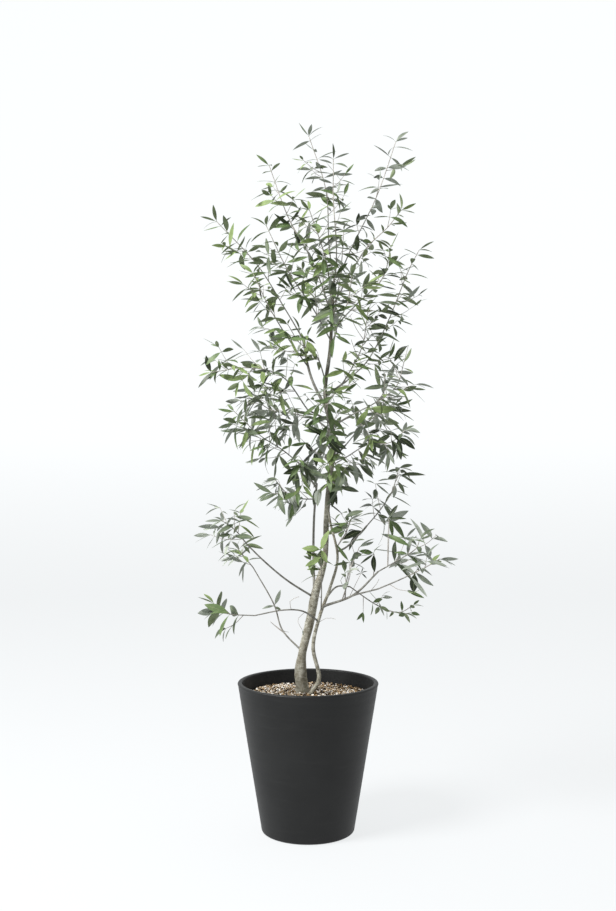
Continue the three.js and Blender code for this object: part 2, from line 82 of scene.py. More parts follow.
# Boughs: name, what carries it, the share of that one's length where it starts,
# the places it goes through, and its radius at the foot and at the tip
BOUGHS = [
    ("left_stem", "trunk", 0.235, [(14, 42, 690), (16, 50, 800), (23, 42, 885)], 3.6, 2.6),
    ("bough_left_middle", "left_stem", 0.96, [(-21, 30, 935)], 2.4, 2.1),
    ("bough_left_low_front", "second_stem", 0.37,
     [(-14, -55, 567), (-60, -80, 573), (-132, -100, 562)], 2.3, 1.5),
    ("bough_left_low_back", "trunk", 0.098, [(-67, 40, 505), (-88, 66, 565), (-145, 100, 660)], 2.4, 1.5),
    ("bough_left_upper", "trunk", 0.232, [(-54, -22, 641), (-114, -50, 695), (-152, -68, 735)], 2.6, 1.8),
    ("bough_right_low", "second_stem", 0.445, [(115, -50, 607), (175, -74, 668)], 3.2, 2.3),
    ("bough_right_far", "bough_right_low", 0.485, [(174, -85, 626)], 2.2, 1.9),
    ("bough_right_low_back", "second_stem", 0.495, [(74, 2, 622), (108, 22, 619)], 2.5, 1.9),
    ("bough_right_middle", "second_stem", 0.72, [(100, 0, 724), (147, 42, 768)], 2.6, 2.1),
    ("bough_back_low", "trunk", 0.47, [(70, 62, 880)], 3, 2.3),
    ("bough_right_back", "trunk", 0.572, [(98, 34, 985)], 2.7, 2.2),
    ("bough_front", "trunk", 0.585, [(48, -48, 985)], 2.7, 2.2),
    ("bough_left_front", "trunk", 0.665, [(0, -32, 1072)], 2.8, 2.2),
    ("bough_left_back", "trunk", 0.635, [(20, 48, 1052)], 2.7, 2.2),
    ("bough_right_outer", "trunk", 0.65, [(110, -30, 1060)], 2.8, 2.2),
    ("left_fork", "trunk", 0.69, [(8, 28, 1160), (-14, 48, 1262)], 4.2, 2.6),
    ("bough_right_upper", "trunk", 0.725, [(100, 20, 1150)], 2.9, 2.4),
    ("bough_front_upper", "trunk", 0.8, [(62, -48, 1232)], 2.5, 2.1),
    ("bough_back_upper", "trunk", 0.845, [(74, 48, 1280)], 2.5, 2.1),
]

# Masses of foliage: name, what carries it, the share of that one's length where it starts, the places its
# stem goes through, the reach of its space, its side twigs, the finer twigs between them, its mix of tones,
# and how broad and how large its leaves are
MASSES = [
    ("leaves_left_low", "bough_left_low_front", 1,
     [(-190, -106, 566), (-226, -110, 574)], 84, 3, 0, "bright", 1.5, 1),
    ("leaves_left_low_back", "bough_left_low_back", 1, [(-182, 112, 704)], 76, 3, 1, "silver", 0.9, 1),
    ("leaves_left_upper", "bough_left_upper", 1,
     [(-180, -76, 770), (-214, -84, 796)], 92, 3, 3, "silver", 0.95, 0.9),
    ("leaves_right_low", "bough_right_low", 1,
     [(238, -88, 706), (268, -96, 728), (276, -98, 750)], 88, 4, 0, "silver", 1.1, 1),
    ("leaves_right_far", "bough_right_far", 1,
     [(225, -115, 652), (285, -136, 684), (320, -146, 706)], 74, 3, 0, "silver", 1.1, 1),
    ("leaves_right_near", "bough_right_low", 0.35,
     [(98, -64, 650), (128, -80, 730)], 70, 3, 4, "mixed", 1.2, 1),
    ("leaves_right_low_back", "bough_right_low_back", 1,
     [(185, 60, 564), (242, 84, 544), (278, 90, 562)], 64, 3, 0, "dull", 1.3, 0.6),
    ("leaves_right_middle", "bough_right_middle", 1,
     [(190, 76, 815), (222, 96, 862), (242, 106, 925)], 92, 4, 1, "dull", 1.05, 1),
    ("leaves_young_shoot", "second_stem", 0.415,
     [(34, -52, 620), (32, -60, 722)], 62, 2, 0, "young", 1.5, 0.8),
    ("leaves_stem_low", "second_stem", 0.74, [(96, -62, 766), (106, -84, 800)], 64, 3, 3, "dull", 1.1, 1),
    ("leaves_stem_end", "second_stem", 1, [(64, -48, 892), (84, -58, 936)], 84, 4, 4, "bright", 1.3, 0.95),
    ("leaves_back_low", "bough_back_low", 1,
     [(60, 112, 925), (40, 160, 975), (30, 180, 1030)], 100, 3, 5, "dull", 1, 1),
    ("leaves_left_inner", "left_stem", 0.99,
     [(8, -10, 925), (-6, -50, 932), (-30, -84, 918)], 84, 4, 5, "mixed", 1.05, 0.95),
    ("leaves_left_hanging", "left_stem", 0.86,
     [(-22, 0, 848), (-56, -26, 864), (-82, -44, 896)], 80, 4, 4, "mixed", 0.95, 0.95),
    ("leaves_left_middle", "bough_left_middle", 1,
     [(-63, 8, 970), (-124, -12, 1010), (-188, -24, 1070)], 96, 5, 9, "bright", 1, 0.9),
    ("leaves_left_front", "bough_left_front", 1,
     [(-66, -70, 1156), (-146, -102, 1174), (-238, -112, 1162)], 92, 5, 8, "bright", 1, 0.95),
    ("leaves_left_back", "bough_left_back", 1,
     [(-36, 96, 1068), (-105, 128, 1082), (-158, 142, 1130)], 102, 4, 8, "mixed", 1, 0.95),
    ("leaves_front", "bough_front", 1,
     [(50, -92, 1015), (46, -136, 1058), (40, -164, 1120)], 86, 4, 7, "mixed", 1, 0.95),
    ("leaves_right_inner", "trunk", 0.555,
     [(100, -22, 955), (150, -58, 985), (205, -92, 990), (240, -104, 1020)], 88, 5, 7, "dull", 1, 0.9),
    ("leaves_right_back", "bough_right_back", 1,
     [(138, 78, 1030), (182, 124, 1066), (222, 146, 1112)], 98, 4, 5, "dull", 1, 1),
    ("leaves_right_outer", "bough_right_outer", 1,
     [(172, -62, 1092), (220, -82, 1130), (238, -88, 1188)], 92, 5, 5, "mixed", 1, 0.95),
    ("leaves_right_upper", "trunk", 0.705,
     [(100, -44, 1160), (136, -56, 1232), (150, -58, 1320)], 88, 6, 8, "crown", 1, 0.95),
    ("leaves_centre", "trunk", 0.76,
     [(20, -34, 1212), (-22, -64, 1240), (-50, -74, 1284)], 84, 4, 6, "bright", 1, 0.95),
    ("leaves_right_shoot", "bough_right_upper", 1,
     [(152, 26, 1200), (205, 30, 1300), (262, 34, 1440), (288, 34, 1490)], 84, 5, 4, "crown", 1, 0.95),
    ("leaves_right_crown", "trunk", 0.885,
     [(125, -4, 1345), (190, -6, 1410), (212, -8, 1490)], 80, 4, 4, "crown", 1, 0.9),
    ("leaves_right_high", "trunk", 0.945,
     [(150, 8, 1490), (205, 16, 1545), (240, 20, 1590)], 78, 3, 1, "crown", 1, 0.95),
    ("leaves_front_upper", "bough_front_upper", 1,
     [(74, -90, 1282), (98, -136, 1335), (106, -160, 1392)], 86, 4, 5, "crown", 1.05, 0.95),
    ("leaves_back_upper", "bough_back_upper", 1,
     [(62, 92, 1330), (46, 140, 1390), (40, 160, 1460)], 98, 4, 4, "mixed", 1, 1),
    ("leaves_left_shoulder", "left_fork", 0.62,
     [(-50, -14, 1255), (-98, -38, 1332), (-138, -44, 1416)], 84, 4, 4, "bright", 1, 0.95),
    ("leaves_left_crown", "left_fork", 1,
     [(-60, 52, 1340), (-130, 40, 1450), (-235, 18, 1560)], 92, 4, 2, "crown", 1, 0.95),
    ("leaves_left_tall", "trunk", 0.915,
     [(16, -24, 1440), (-50, -36, 1560), (-98, -36, 1690)], 86, 4, 6, "crown", 1, 0.95),
    ("leaves_left_high", "trunk", 0.86,
     [(12, -38, 1330), (-50, -64, 1420), (-104, -76, 1530)], 84, 4, 6, "crown", 1, 0.95),
    ("leaves_top_centre", "trunk", 0.965,
     [(72, -40, 1470), (64, -44, 1600), (64, -42, 1705)], 60, 3, 0, "bright", 0.95, 0.9),
    ("leaves_top_right", "trunk", 0.978,
     [(110, 40, 1490), (178, 44, 1630), (228, 40, 1772)], 74, 4, 0, "mixed", 1, 0.95),
    ("leaves_front_tall", "trunk", 0.93, [(46, -70, 1440), (4, -114, 1560)], 88, 4, 6, "crown", 1, 0.95),
    ("leaves_back_tall", "trunk", 0.9, [(84, 76, 1420), (96, 124, 1560)], 88, 3, 1, "crown", 1, 0.95),
    ("leaves_leader", "trunk", 1,
     [(54, 14, 1500), (46, 14, 1640), (2, 8, 1778)], 74, 4, 3, "mixed", 0.95, 0.9),
]

# Small shoots that show by themselves, some a bare twig and some only leaves: what carries each, the share
# of that one's length where it starts, the places its twig goes through, the twig's radius at its foot, its
# leaves' tone and breadth, and for each leaf the way it points, in degrees round from the right to the top
# as seen from the front, with its length
SHOOTS = [
    ("bough_left_low_back", 0.56, [], 0, "grey", 1.4, [(70, 45), (186, 34)]),
    ("bough_left_low_back", 0.55, [], 0, "olive", 1.4, [(172, 22), (-25, 20)]),
    ("bough_left_low_back", 0.27, [(-84, 47, 513), (-98, 49, 525)], 2.0, "", 0, []),
    ("bough_left_low_back", 0.29, [(-56, 40, 500), (-50, 38, 499)], 0.7, "", 0, []),
    ("bough_left_low_front", 0.5, [(-44, -86, 597), (-22, -84, 607)], 0.8, "", 0, []),
    ("bough_left_low_front", 0.28, [(-26, -64, 545), (-14, -66, 521)], 0.6, "olive", 0.9, [(-70, 14)]),
    ("second_stem", 0.36, [(50, -22, 545), (70, -24, 542)], 0.6, "", 0, []),
    ("leaves_young_shoot", 1, [], 0, "fresh", 1.6,
     [(78, 54), (172, 48), (188, 42), (-92, 46), (-60, 38)]),
    ("leaves_young_shoot", 0.86, [], 0, "fresh", 1.2, [(197, 46), (150, 40), (-20, 34)]),
    ("leaves_young_shoot", 0.62, [], 0, "fresh", 0.9, [(178, 54)]),
    ("bough_right_low", 0.9, [(166, -70, 690), (164, -68, 714)], 1.0, "green", 1.5,
     [(68, 36), (165, 38)]),
    ("bough_right_low", 0.89, [(167, -72, 690), (165, -70, 712)], 0.8, "shaded", 1.1,
     [(190, 52), (-88, 46), (212, 46)]),
    ("leaves_right_low", 0.2, [(199, -84, 760), (201, -82, 802)], 1.1, "shaded", 1.3,
     [(52, 40), (165, 30), (-3, 46)]),
    ("leaves_right_low", 0.21, [(201, -86, 760), (202, -84, 798)], 0.8, "green", 1.4,
     [(-50, 68), (-72, 46)]),
    ("leaves_right_low", 0.62, [], 0, "grey", 0.8, [(77, 50), (-8, 50), (10, 46)]),
    ("leaves_right_low", 0.64, [], 0, "green", 1.4, [(-45, 50), (160, 36)]),
    ("leaves_right_far", 0.6, [], 0, "shaded", 1.7, [(-92, 52)]),
    ("leaves_right_far", 0.84, [], 0, "fresh", 1.4, [(58, 36), (30, 34)]),
    ("bough_right_low", 0.3, [(104, -60, 660), (103, -60, 692)], 0.9, "green", 1.1,
     [(120, 54), (35, 34)]),
    ("bough_right_low", 0.31, [(106, -62, 660), (106, -62, 690)], 0.7, "shaded", 1.0,
     [(188, 44), (-12, 40)]),
    ("bough_right_low", 0.42, [(124, -50, 642), (134, -48, 662)], 0.7, "shaded", 0.8,
     [(20, 18), (78, 16), (142, 18), (200, 16), (-42, 20)]),
    ("second_stem", 0.9, [], 0, "shaded", 0.8, [(-40, 68)]),
    ("second_stem", 0.96, [], 0, "shaded", 0.9, [(-33, 54)]),
    ("bough_right_middle", 0.93, [], 0, "shaded", 1.3, [(-140, 64), (-160, 58)]),
    ("leaves_right_middle", 0.12, [], 0, "olive", 0.9, [(-130, 46)]),
    ("bough_right_far", 0.7, [(170, -84, 638), (177, -84, 651)], 0.8, "", 0, []),
    ("leaves_right_outer", 0.35, [(206, -80, 1105), (214, -84, 1095)], 0.8, "shaded", 1.2, [(-50, 58)]),
    ("leaves_right_inner", 0.9, [], 0, "shaded", 1.1, [(-82, 58), (-35, 52)]),
    ("leaves_right_outer", 1, [(244, -90, 1212), (249, -90, 1231)], 0.7, "shaded", 1.1, [(218, 57)]),
    ("leaves_right_upper", 0.97, [(162, -60, 1324), (170, -60, 1320)], 0.7, "shaded", 0.95, [(-2, 68)]),
    ("leaves_right_upper", 1, [(164, -60, 1334), (176, -60, 1342)], 0.7, "olive", 1.0,
     [(2, 56), (-28, 48)]),
    ("leaves_left_front", 1, [], 0, "shaded", 1.1, [(221, 50), (107, 44)]),
    ("leaves_left_front", 0.93, [], 0, "green", 1.0, [(208, 48), (95, 30)]),
    ("leaves_stem_end", 0.4, [(54, -66, 912), (48, -76, 938)], 1.0, "fresh", 1.5,
     [(75, 50), (150, 42), (30, 40), (200, 36), (-20, 34), (-80, 46)]),
    ("leaves_stem_end", 0.3, [], 0, "shaded", 1.4, [(-88, 56), (-62, 50)]),
    ("leaves_stem_end", 1, [(100, -62, 944), (112, -62, 944)], 0.7, "grey", 1.2, [(-75, 62), (-20, 50)]),
    ("left_stem", 0.97, [], 0, "shaded", 1.3, [(250, 54)]),
    ("left_stem", 0.9, [(30, 20, 868), (34, 12, 876)], 0.7, "pale", 1.7, [(245, 50)]),
    ("leaves_left_hanging", 0.45, [], 0, "grey", 1.9, [(128, 44), (250, 50)]),
    ("leaves_left_crown", 0.9, [], 0, "shaded", 1.3, [(96, 46)]),
    ("leaves_front_tall", 0.12, [(44, -86, 1442), (38, -100, 1448)], 0.9, "green", 1.35,
     [(62, 50), (130, 46), (203, 44), (-32, 48), (-88, 52), (-141, 44)]),
    ("leaves_front_tall", 0.34, [], 0, "olive", 1.35, [(22, 46), (158, 46), (-68, 50)]),
    ("leaves_left_high", 0.42, [], 0, "green", 1.3, [(250, 50), (200, 46), (302, 48), (92, 40)]),
    ("leaves_left_high", 0.62, [], 0, "olive", 1.3, [(172, 46), (228, 44), (-20, 44)]),
]

# How a mass's sprays share out its tones: what is left of each mix is olive. The near-black tone's share is
# painted shade
MIXES = {
    "young": {"fresh": 1},
    "bright": {"fresh": 0.30, "green": 0.28, "grey": 0.14, "pale": 0.06, "shaded": 0.04},
    "crown": {"fresh": 0.32, "green": 0.42, "grey": 0.04, "shaded": 0.12},
    "mixed": {"fresh": 0.12, "green": 0.26, "grey": 0.18, "pale": 0.08, "shaded": 0.10},
    "dull": {"fresh": 0.02, "green": 0.18, "grey": 0.22, "pale": 0.08, "shaded": 0.20},
    # The silver mix's grey and pale leaves are partly painted sheen, for the lower crown's glossy upper
    # sides
    "silver": {"fresh": 0.03, "green": 0.13, "grey": 0.28, "pale": 0.44},
}

# Masses with a bare foot: no leaf starts nearer to it than this
BARE_FEET = {"leaves_young_shoot": 104, "leaves_right_far": 80, "leaves_right_low_back": 72,
             "leaves_right_low": 36, "leaves_right_middle": 36, "leaves_left_high": 70}

# The rule that every mass grows by, as in the source, carried to finer twigs and real leaves. Turns and
# tilts are in radians. The second number of a pair, or a LOOSE value, is the most that chance adds
SEED = 31
LIMB_STEP = 12
SPLINE_STEPS = 24
STEM_RADIUS = 1.8
TWIG_RADIUS = 0.95
TWIG_FOOT = 0.8
TIP_RADIUS = 0.55
FIRST_TWIG = 0.16
TWIG_SPAN = 0.74
TWIG_JITTER = 0.7
TWIG_TURN = 2.4
TWIG_TURN_LOOSE = 0.8
TWIG_TILT = (0.8, 0.35)
TWIG_LENGTH = (0.75, 0.3)
TWIG_SHORTENING = 0.4
TWIG_LIFT = 0.16
TRIES = 5
RETRY_TURN = 1.25
FINE_LENGTH = 0.62
BARE_SHARE = 0.22
INTERNODE = 30
LEAF_LENGTH = 62
LEAF_SLIMNESS = 0.208
LEAF_SIZE = (0.74, 0.5)
YOUNG_SHORTER = 0.25
LEAF_TILT = (1.1, 0.35)
YOUNG_UPRIGHT = 0.35
FIRST_TURN_LOOSE = 3
LEAF_TURN_LOOSE = 0.7
LEAF_TURNS = (0, 0.6, -0.6, 1.2, -1.2)
TIP_LEAF_SIZE = 0.75
TIP_LEAF_TILT = 0.65
TIP_PAIR_SIZE = (0.7, 0.4)
LEAF_LEVEL = 0.6
LEAF_HANG = 0.4
FOOT_HANG = 0.6
FOOT_HEIGHT = 930
FOOT_BAND = 150
LEAF_ROLL = 1.6
LEAF_FACE_UP = 0.7
SHOOT_DEPTH = 0.9
SHOOT_FORWARDS = 0.6
LIMB_GAP = 2
SPACE_GAP = 1
TWIG_GAP = 3
LEAF_GAP = 5.5
# Shares of a twig's and of a leaf's length where their room is tested
TWIG_TESTS = np.linspace(0.2, 1, 9)
LEAF_TESTS = (0.3, 0.5, 0.7, 0.85, 1)

# Keys that keep the draws for one thing apart from those for another
PLACE, TURN, TILT, SIZE, HANG, ROLL = range(6)
FIRST_LEAF, TIP_LEAF, PAIRS, SPRAY_TONE, SHOOT_KEYS = 40, 41, 50, 70, 1000
WIDTH, ARCH, ARCH_WAY, FOLD, TWIST, SWAY = range(90, 96)
WORD = 2 ** 32
KEY_STEP = 40503
STIR_ONCE = 0x85EBCA6B
STIR_AGAIN = 0xC2B2AE35

UP = np.array((0.0, 0.0, 1.0))
BACKWARDS = np.array((0.0, 1.0, 0.0))
# Keeps a direction's sides from vanishing when it points straight up
OFF_LEVEL = 0.01


def chance(*keys):
    """A number from 0 to 1 that is always the same for the same keys."""
    value = SEED
    for key in keys:
        value = (value ^ (key + KEY_STEP)) * STIR_ONCE % WORD
        value ^= value >> 13
        value = value * STIR_AGAIN % WORD
        value ^= value >> 16
    return value / WORD


def draws(*keys):
    """The draw for each thing about what the keys stand for."""
    return lambda thing: chance(*keys, thing)


def varied(pair, share):
    """A value that chance adds to: its least, and this share of the most that is added."""
    least, most = pair
    return least + most * share


def unit(vector):
    return vector / np.linalg.norm(vector)


def spline_point(places, t):
    """A place on a smooth curve through the places, as in the source, t from 0 to 1."""
    last = len(places) - 1
    span = min(int(t * last), last - 1)
    w = t * last - span
    p1, p2 = places[span], places[span + 1]
    p0 = places[span - 1] if span else 2 * places[0] - places[1]
    p3 = places[span + 2] if span + 2 <= last else 2 * places[last] - places[last - 1]
    d0, d1, d2 = (math.sqrt(np.linalg.norm(b - a)) for a, b in ((p0, p1), (p1, p2), (p2, p3)))
    m1 = ((p1 - p0) / d0 - (p2 - p0) / (d0 + d1) + (p2 - p1) / d1) * d1
    m2 = ((p2 - p1) / d1 - (p3 - p1) / (d1 + d2) + (p3 - p2) / d2) * d1
    a = 2 * p1 - 2 * p2 + m1 + m2
    b = -3 * p1 + 3 * p2 - 2 * m1 - m2
    return ((a * w + b) * w + m1) * w + p1


class Limb:
    """A limb's line through its places, in even steps, with its radius at each."""

    def __init__(self, places, radii):
        places = [np.array(p, float) for p in places]
        shares = np.linspace(0, 1, SPLINE_STEPS * (len(places) - 1) + 1)
        fine = np.array([spline_point(places, t) for t in shares])
        lengths = np.concatenate(([0], np.cumsum(np.linalg.norm(np.diff(fine, axis=0), axis=1))))
        self.length = lengths[-1]
        rings = max(3, int(round(self.length / LIMB_STEP)) + 1)
        at = np.linspace(0, self.length, rings)
        self.points = np.stack([np.interp(at, lengths, fine[:, k]) for k in range(3)], axis=1)
        t = np.interp(at, lengths, shares)
        self.widths = np.interp(t, np.linspace(0, 1, len(radii)), radii)
        self.starts = self.points[:-1]
        self.spans = np.diff(self.points, axis=0)

    def point(self, share):
        at = share * (len(self.points) - 1)
        span = min(int(at), len(self.points) - 2)
        return self.points[span] + (at - span) * self.spans[span]

    def way(self, share):
        span = min(int(share * (len(self.points) - 1)), len(self.points) - 2)
        return unit(self.spans[span])

    def radius(self, share):
        return float(np.interp(share, np.linspace(0, 1, len(self.widths)), self.widths))


def tapering_limb(places, foot, tip):
    """A limb whose radius falls evenly from place to place."""
    last = len(places) - 1
    return Limb(places, [foot + (tip - foot) * i / last for i in range(last + 1)])


class Lines:
    """Many limbs' lines as one set of spans, each as thick as told, to measure to all of them at once."""

    def __init__(self, lines, thickness):
        self.starts = np.concatenate([line.starts for line in lines])
        self.spans = np.concatenate([line.spans for line in lines])
        counts = [len(line.spans) for line in lines]
        self.thick = np.concatenate([np.broadcast_to(t, n) for t, n in zip(thickness, counts)])
        self.owner = np.repeat(range(len(lines)), counts)

    def gaps(self, places):
        rel = places[:, None, :] - self.starts[None]
        share = np.clip((rel * self.spans).sum(2) / (self.spans ** 2).sum(1), 0, 1)
        return np.linalg.norm(rel - share[..., None] * self.spans, axis=2) - self.thick


def wood_lines(lines):
    return Lines(lines, [line.widths[:-1] for line in lines])


def lay_limbs():
    """Every limb by name, from the stems in the soil to the last bough."""
    laid = {}
    for name, stations in (("trunk", TRUNK), ("second_stem", SECOND_STEM)):
        laid[name] = Limb([s[:3] for s in stations], [s[3] for s in stations])
    for name, parent, share, places, foot, tip in BOUGHS:
        laid[name] = tapering_limb([laid[parent].point(share), *places], foot, tip)
    return laid


def lay_stems():
    """Every mass's stem by name."""
    laid = {}
    for name, parent, share, places, *_ in MASSES:
        foot = min(STEM_RADIUS, limbs[parent].radius(share))
        laid[name] = tapering_limb([limbs[parent].point(share), *places], foot, TWIG_RADIUS)
    return laid


limbs = lay_limbs()
stems = lay_stems()
wood = wood_lines(list(limbs.values()))
spaces = Lines(list(stems.values()), [mass[4] for mass in MASSES])


def is_free(places, order):
    """Whether places keep to a mass's own space and off every limb."""
    depth = spaces.gaps(places)
    own = np.where(spaces.owner == order, depth, np.inf).min(1)
    other = np.where(spaces.owner != order, depth, np.inf).min(1)
    if (own > 0).any() or (other < own + 2 * SPACE_GAP).any():
        return False
    return wood.gaps(places).min() > LIMB_GAP


def slant(along, tilt, turn):
    """A direction tilted off another, turned round it."""
    first = unit(np.cross((along[1], -along[0], OFF_LEVEL), along))
    second = np.cross(along, first)
    return along * math.cos(tilt) + math.sin(tilt) * (first * math.cos(turn) + second * math.sin(turn))


def side_twig(stem, reach, order, twig, of, attempt, scale):
    """One side twig: it leaves the stem at a slant and bends up a little."""
    draw = draws(order, twig, attempt)
    share = FIRST_TWIG + TWIG_SPAN * ((twig - 1) % of + TWIG_JITTER * draw(PLACE)) / of
    turn = TWIG_TURN * twig + RETRY_TURN * attempt + TWIG_TURN_LOOSE * draw(TURN)
    way = slant(stem.way(share), varied(TWIG_TILT, draw(TILT)), turn)
    length = reach * (1 - TWIG_SHORTENING * share) * varied(TWIG_LENGTH, draw(SIZE)) * scale
    start = stem.point(share)
    line = [start, start + way * 0.5 * length, start + way * length + UP * TWIG_LIFT * length]
    return tapering_limb(line, min(TWIG_RADIUS, TWIG_FOOT * stem.radius(share)), TIP_RADIUS)


def facing(along, towards):
    """The way nearest to the one given that a leaf along this line can face."""
    return unit(towards - along * towards.dot(along))


def shape_leaf(root, way, towards, size, hang=0.5, roll=0.5):
    """A leaf lies nearly level, faces up and to the twig's tip, and is rolled to one side. At the crown's
    foot it hangs."""
    at_foot = math.exp(-((root[2] - FOOT_HEIGHT) / FOOT_BAND) ** 2)
    along = unit(way * (1, 1, LEAF_LEVEL) - UP * (LEAF_HANG + FOOT_HANG * at_foot) * hang)
    face = facing(along, UP * LEAF_FACE_UP + towards)
    turn = LEAF_ROLL * (roll - 0.5)
    face = face * math.cos(turn) + np.cross(along, face) * math.sin(turn)
    return {"root": root, "along": along, "face": face, "length": LEAF_LENGTH * size}


def leaf_places(leaf, breadth):
    """Places on a leaf's rib and on its two edges."""
    side = np.cross(leaf["along"], leaf["face"])
    half = 0.5 * LEAF_SLIMNESS * breadth * leaf["length"]
    spots = [(share, 0) for share in LEAF_TESTS] + [(0.5, half), (0.5, -half)]
    return np.array([leaf["root"] + leaf["along"] * share * leaf["length"] + side * sideways
                     for share, sideways in spots])


def pair_leaf(order, twig, pair, half, root, towards, youth, large):
    """One of a pair of leaves, in each of the turns that it may take."""
    draw = draws(order, twig, PAIRS + pair, half)
    first = FIRST_TURN_LOOSE * chance(order, twig, FIRST_LEAF)
    turn = first + math.pi / 2 * (pair + 2 * half) + LEAF_TURN_LOOSE * draw(TURN)
    tilt = varied(LEAF_TILT, draw(TILT)) - YOUNG_UPRIGHT * youth
    size = large * varied(LEAF_SIZE, draw(SIZE)) * (1 - YOUNG_SHORTER * youth)
    return [shape_leaf(root, slant(towards, tilt, turn + more), towards, size, draw(HANG), draw(ROLL))
            for more in LEAF_TURNS]


def leaves_on(limb, order, twig, breadth, large):
    """Pairs of leaves up a twig, each pair square to the last, and three young leaves at its tip. Each leaf
    comes as a list of the turns that it may take."""
    leafy = 1 - BARE_SHARE
    pairs = max(1, round(limb.length * leafy / (INTERNODE * breadth * large)))
    for pair in range(pairs):
        share = BARE_SHARE + leafy * (pair + 0.5) / pairs
        youth = (pair / pairs) ** 2
        for half in (0, 1):
            yield pair_leaf(order, twig, pair, half, limb.point(share), limb.way(share), youth, large)
    along = limb.way(1)
    side = slant(along, math.pi / 2, 2 * math.pi * chance(order, twig, TIP_LEAF))
    end = limb.point(1)
    size = TIP_LEAF_SIZE * large
    yield [shape_leaf(end, along, side, size)]
    for half in (0, 1):
        turn = 2 * math.pi * (chance(order, twig, TIP_LEAF, half) + 0.5 * half)
        share = varied(TIP_PAIR_SIZE, chance(order, twig, TIP_LEAF, half, SIZE))
        yield [shape_leaf(end, slant(along, TIP_LEAF_TILT, turn + more), along, size * share)
               for more in LEAF_TURNS]


def tone_of(order, twig, mix):
    """Each spray is dealt one tone of its mass's mix."""
    draw = chance(order, twig, SPRAY_TONE)
    for tone, share in MIXES[mix].items():
        if draw < share:
            return tone
        draw -= share
    return "olive"


def grow_shoot(index):
    """A small shoot's twig, if it has one, and its leaves. Their tips come forwards or go back a little."""
    carrier, share, places, foot, tone, breadth, fan = SHOOTS[index]
    root = (limbs.get(carrier) or stems[carrier]).point(share)
    twigs = [tapering_limb([root, *places], foot, TIP_RADIUS)] if places else []
    if twigs:
        root = twigs[0].point(1)
    leaves = []
    for number, (degrees, length) in enumerate(fan):
        draw = draws(SHOOT_KEYS + index, number)
        angle = math.radians(degrees)
        depth = SHOOT_DEPTH * (draw(TURN) - SHOOT_FORWARDS)
        along = unit(np.array((math.cos(angle), depth, math.sin(angle))))
        face = facing(along, UP * LEAF_FACE_UP - BACKWARDS * draw(TILT))
        leaves.append({"root": root, "along": along, "face": face, "length": length, "tone": tone,
                       "breadth": breadth})
    return twigs, leaves


def grow_mass(order, taken):
    """A mass's side twigs and leaves: the source's twigs first, then finer ones between them. Leaves keep
    clear of the places that are taken."""
    name, _, _, _, reach, count, finer, mix, breadth, large = MASSES[order]
    stem = stems[name]
    twigs = [stem]
    plan = [(k, count, 1.0) for k in range(1, count + 1)]
    plan += [(count + k, finer, FINE_LENGTH) for k in range(1, finer + 1)]
    for twig, of, scale in plan:
        for attempt in range(TRIES):
            limb = side_twig(stem, reach, order, twig, of, attempt, scale)
            if is_free(np.array([limb.point(share) for share in TWIG_TESTS]), order):
                twigs.append(limb)
                break
    leaves = []
    own_wood = wood_lines(twigs)
    bare_foot = BARE_FEET.get(name, 0)
    for index, limb in enumerate(twigs):
        tone = tone_of(order, index, mix)
        for choices in leaves_on(limb, order, index, breadth, large):
            if np.linalg.norm(choices[0]["root"] - stem.point(0)) < bare_foot:
                continue
            for leaf in choices:
                spots = leaf_places(leaf, breadth)
                if not is_free(spots, order) or own_wood.gaps(spots).min() < TWIG_GAP:
                    continue
                if np.linalg.norm(spots[:, None] - taken[None], axis=2).min() < LEAF_GAP:
                    continue
                taken = np.concatenate((taken, spots))
                leaves.append({**leaf, "tone": tone, "breadth": breadth})
                break
    return twigs, leaves


# Materials
def fill(tree, node, inputs):
    """Each input is linked where an output is given for it, and set where a value is."""
    for name, value in inputs.items():
        if isinstance(value, bpy.types.NodeSocket):
            tree.links.new(value, node.inputs[name])
        else:
            node.inputs[name].default_value = value
    return node


def add_node(tree, kind, inputs):
    return fill(tree, tree.nodes.new("ShaderNode" + kind), inputs)


def object_place(tree, stretch=(1, 1, 1)):
    """Object coordinates, scaled each way."""
    coords = add_node(tree, "TexCoord", {}).outputs["Object"]
    return add_node(tree, "Mapping", {"Vector": coords, "Scale": stretch}).outputs["Vector"]


def object_height(tree):
    return add_node(tree, "SeparateXYZ", {"Vector": object_place(tree)}).outputs["Z"]


def noise_node(tree, scale, detail, rough=0.55, stretch=(1, 1, 1)):
    inputs = {"Vector": object_place(tree, stretch), "Scale": scale, "Detail": detail, "Roughness": rough}
    return add_node(tree, "TexNoise", inputs).outputs["Fac"]


def ramp(tree, value, stops):
    node = add_node(tree, "ValToRGB", {"Fac": value})
    while len(node.color_ramp.elements) < len(stops):
        node.color_ramp.elements.new(0.5)
    for element, (position, colour) in zip(node.color_ramp.elements, stops):
        element.position = position
        element.color = (*colour, 1)
    return node.outputs["Color"]


def mask(tree, value, *stops):
    """A ramp of greys, to mix by."""
    return ramp(tree, value, [(position, (level, level, level)) for position, level in stops])


def spread(tree, value, inputs):
    """A value spread out over another range."""
    return add_node(tree, "MapRange", {"Value": value, **inputs}).outputs["Result"]


def bump(tree, shader, value, strength, depth):
    normal = add_node(tree, "Bump", {"Strength": strength, "Distance": depth, "Height": value})
    fill(tree, shader, {"Normal": normal.outputs["Normal"]})


# Where a mix node's colours go in and come out
MIX_UNDER, MIX_OVER, MIX_RESULT = 6, 7, 2


def mixed(tree, share, under, over):
    """One colour laid over another by a share."""
    node = tree.nodes.new("ShaderNodeMix")
    node.data_type = "RGBA"
    fill(tree, node, {"Factor": share, MIX_UNDER: under, MIX_OVER: (*over, 1)})
    return node.outputs[MIX_RESULT]


def material(name, rough, gloss, build):
    skin = bpy.data.materials.new(name)
    skin.use_nodes = True
    shader = skin.node_tree.nodes["Principled BSDF"]
    fill(skin.node_tree, shader, {"Roughness": rough, "Specular IOR Level": gloss})
    build(skin.node_tree, shader)
    return skin
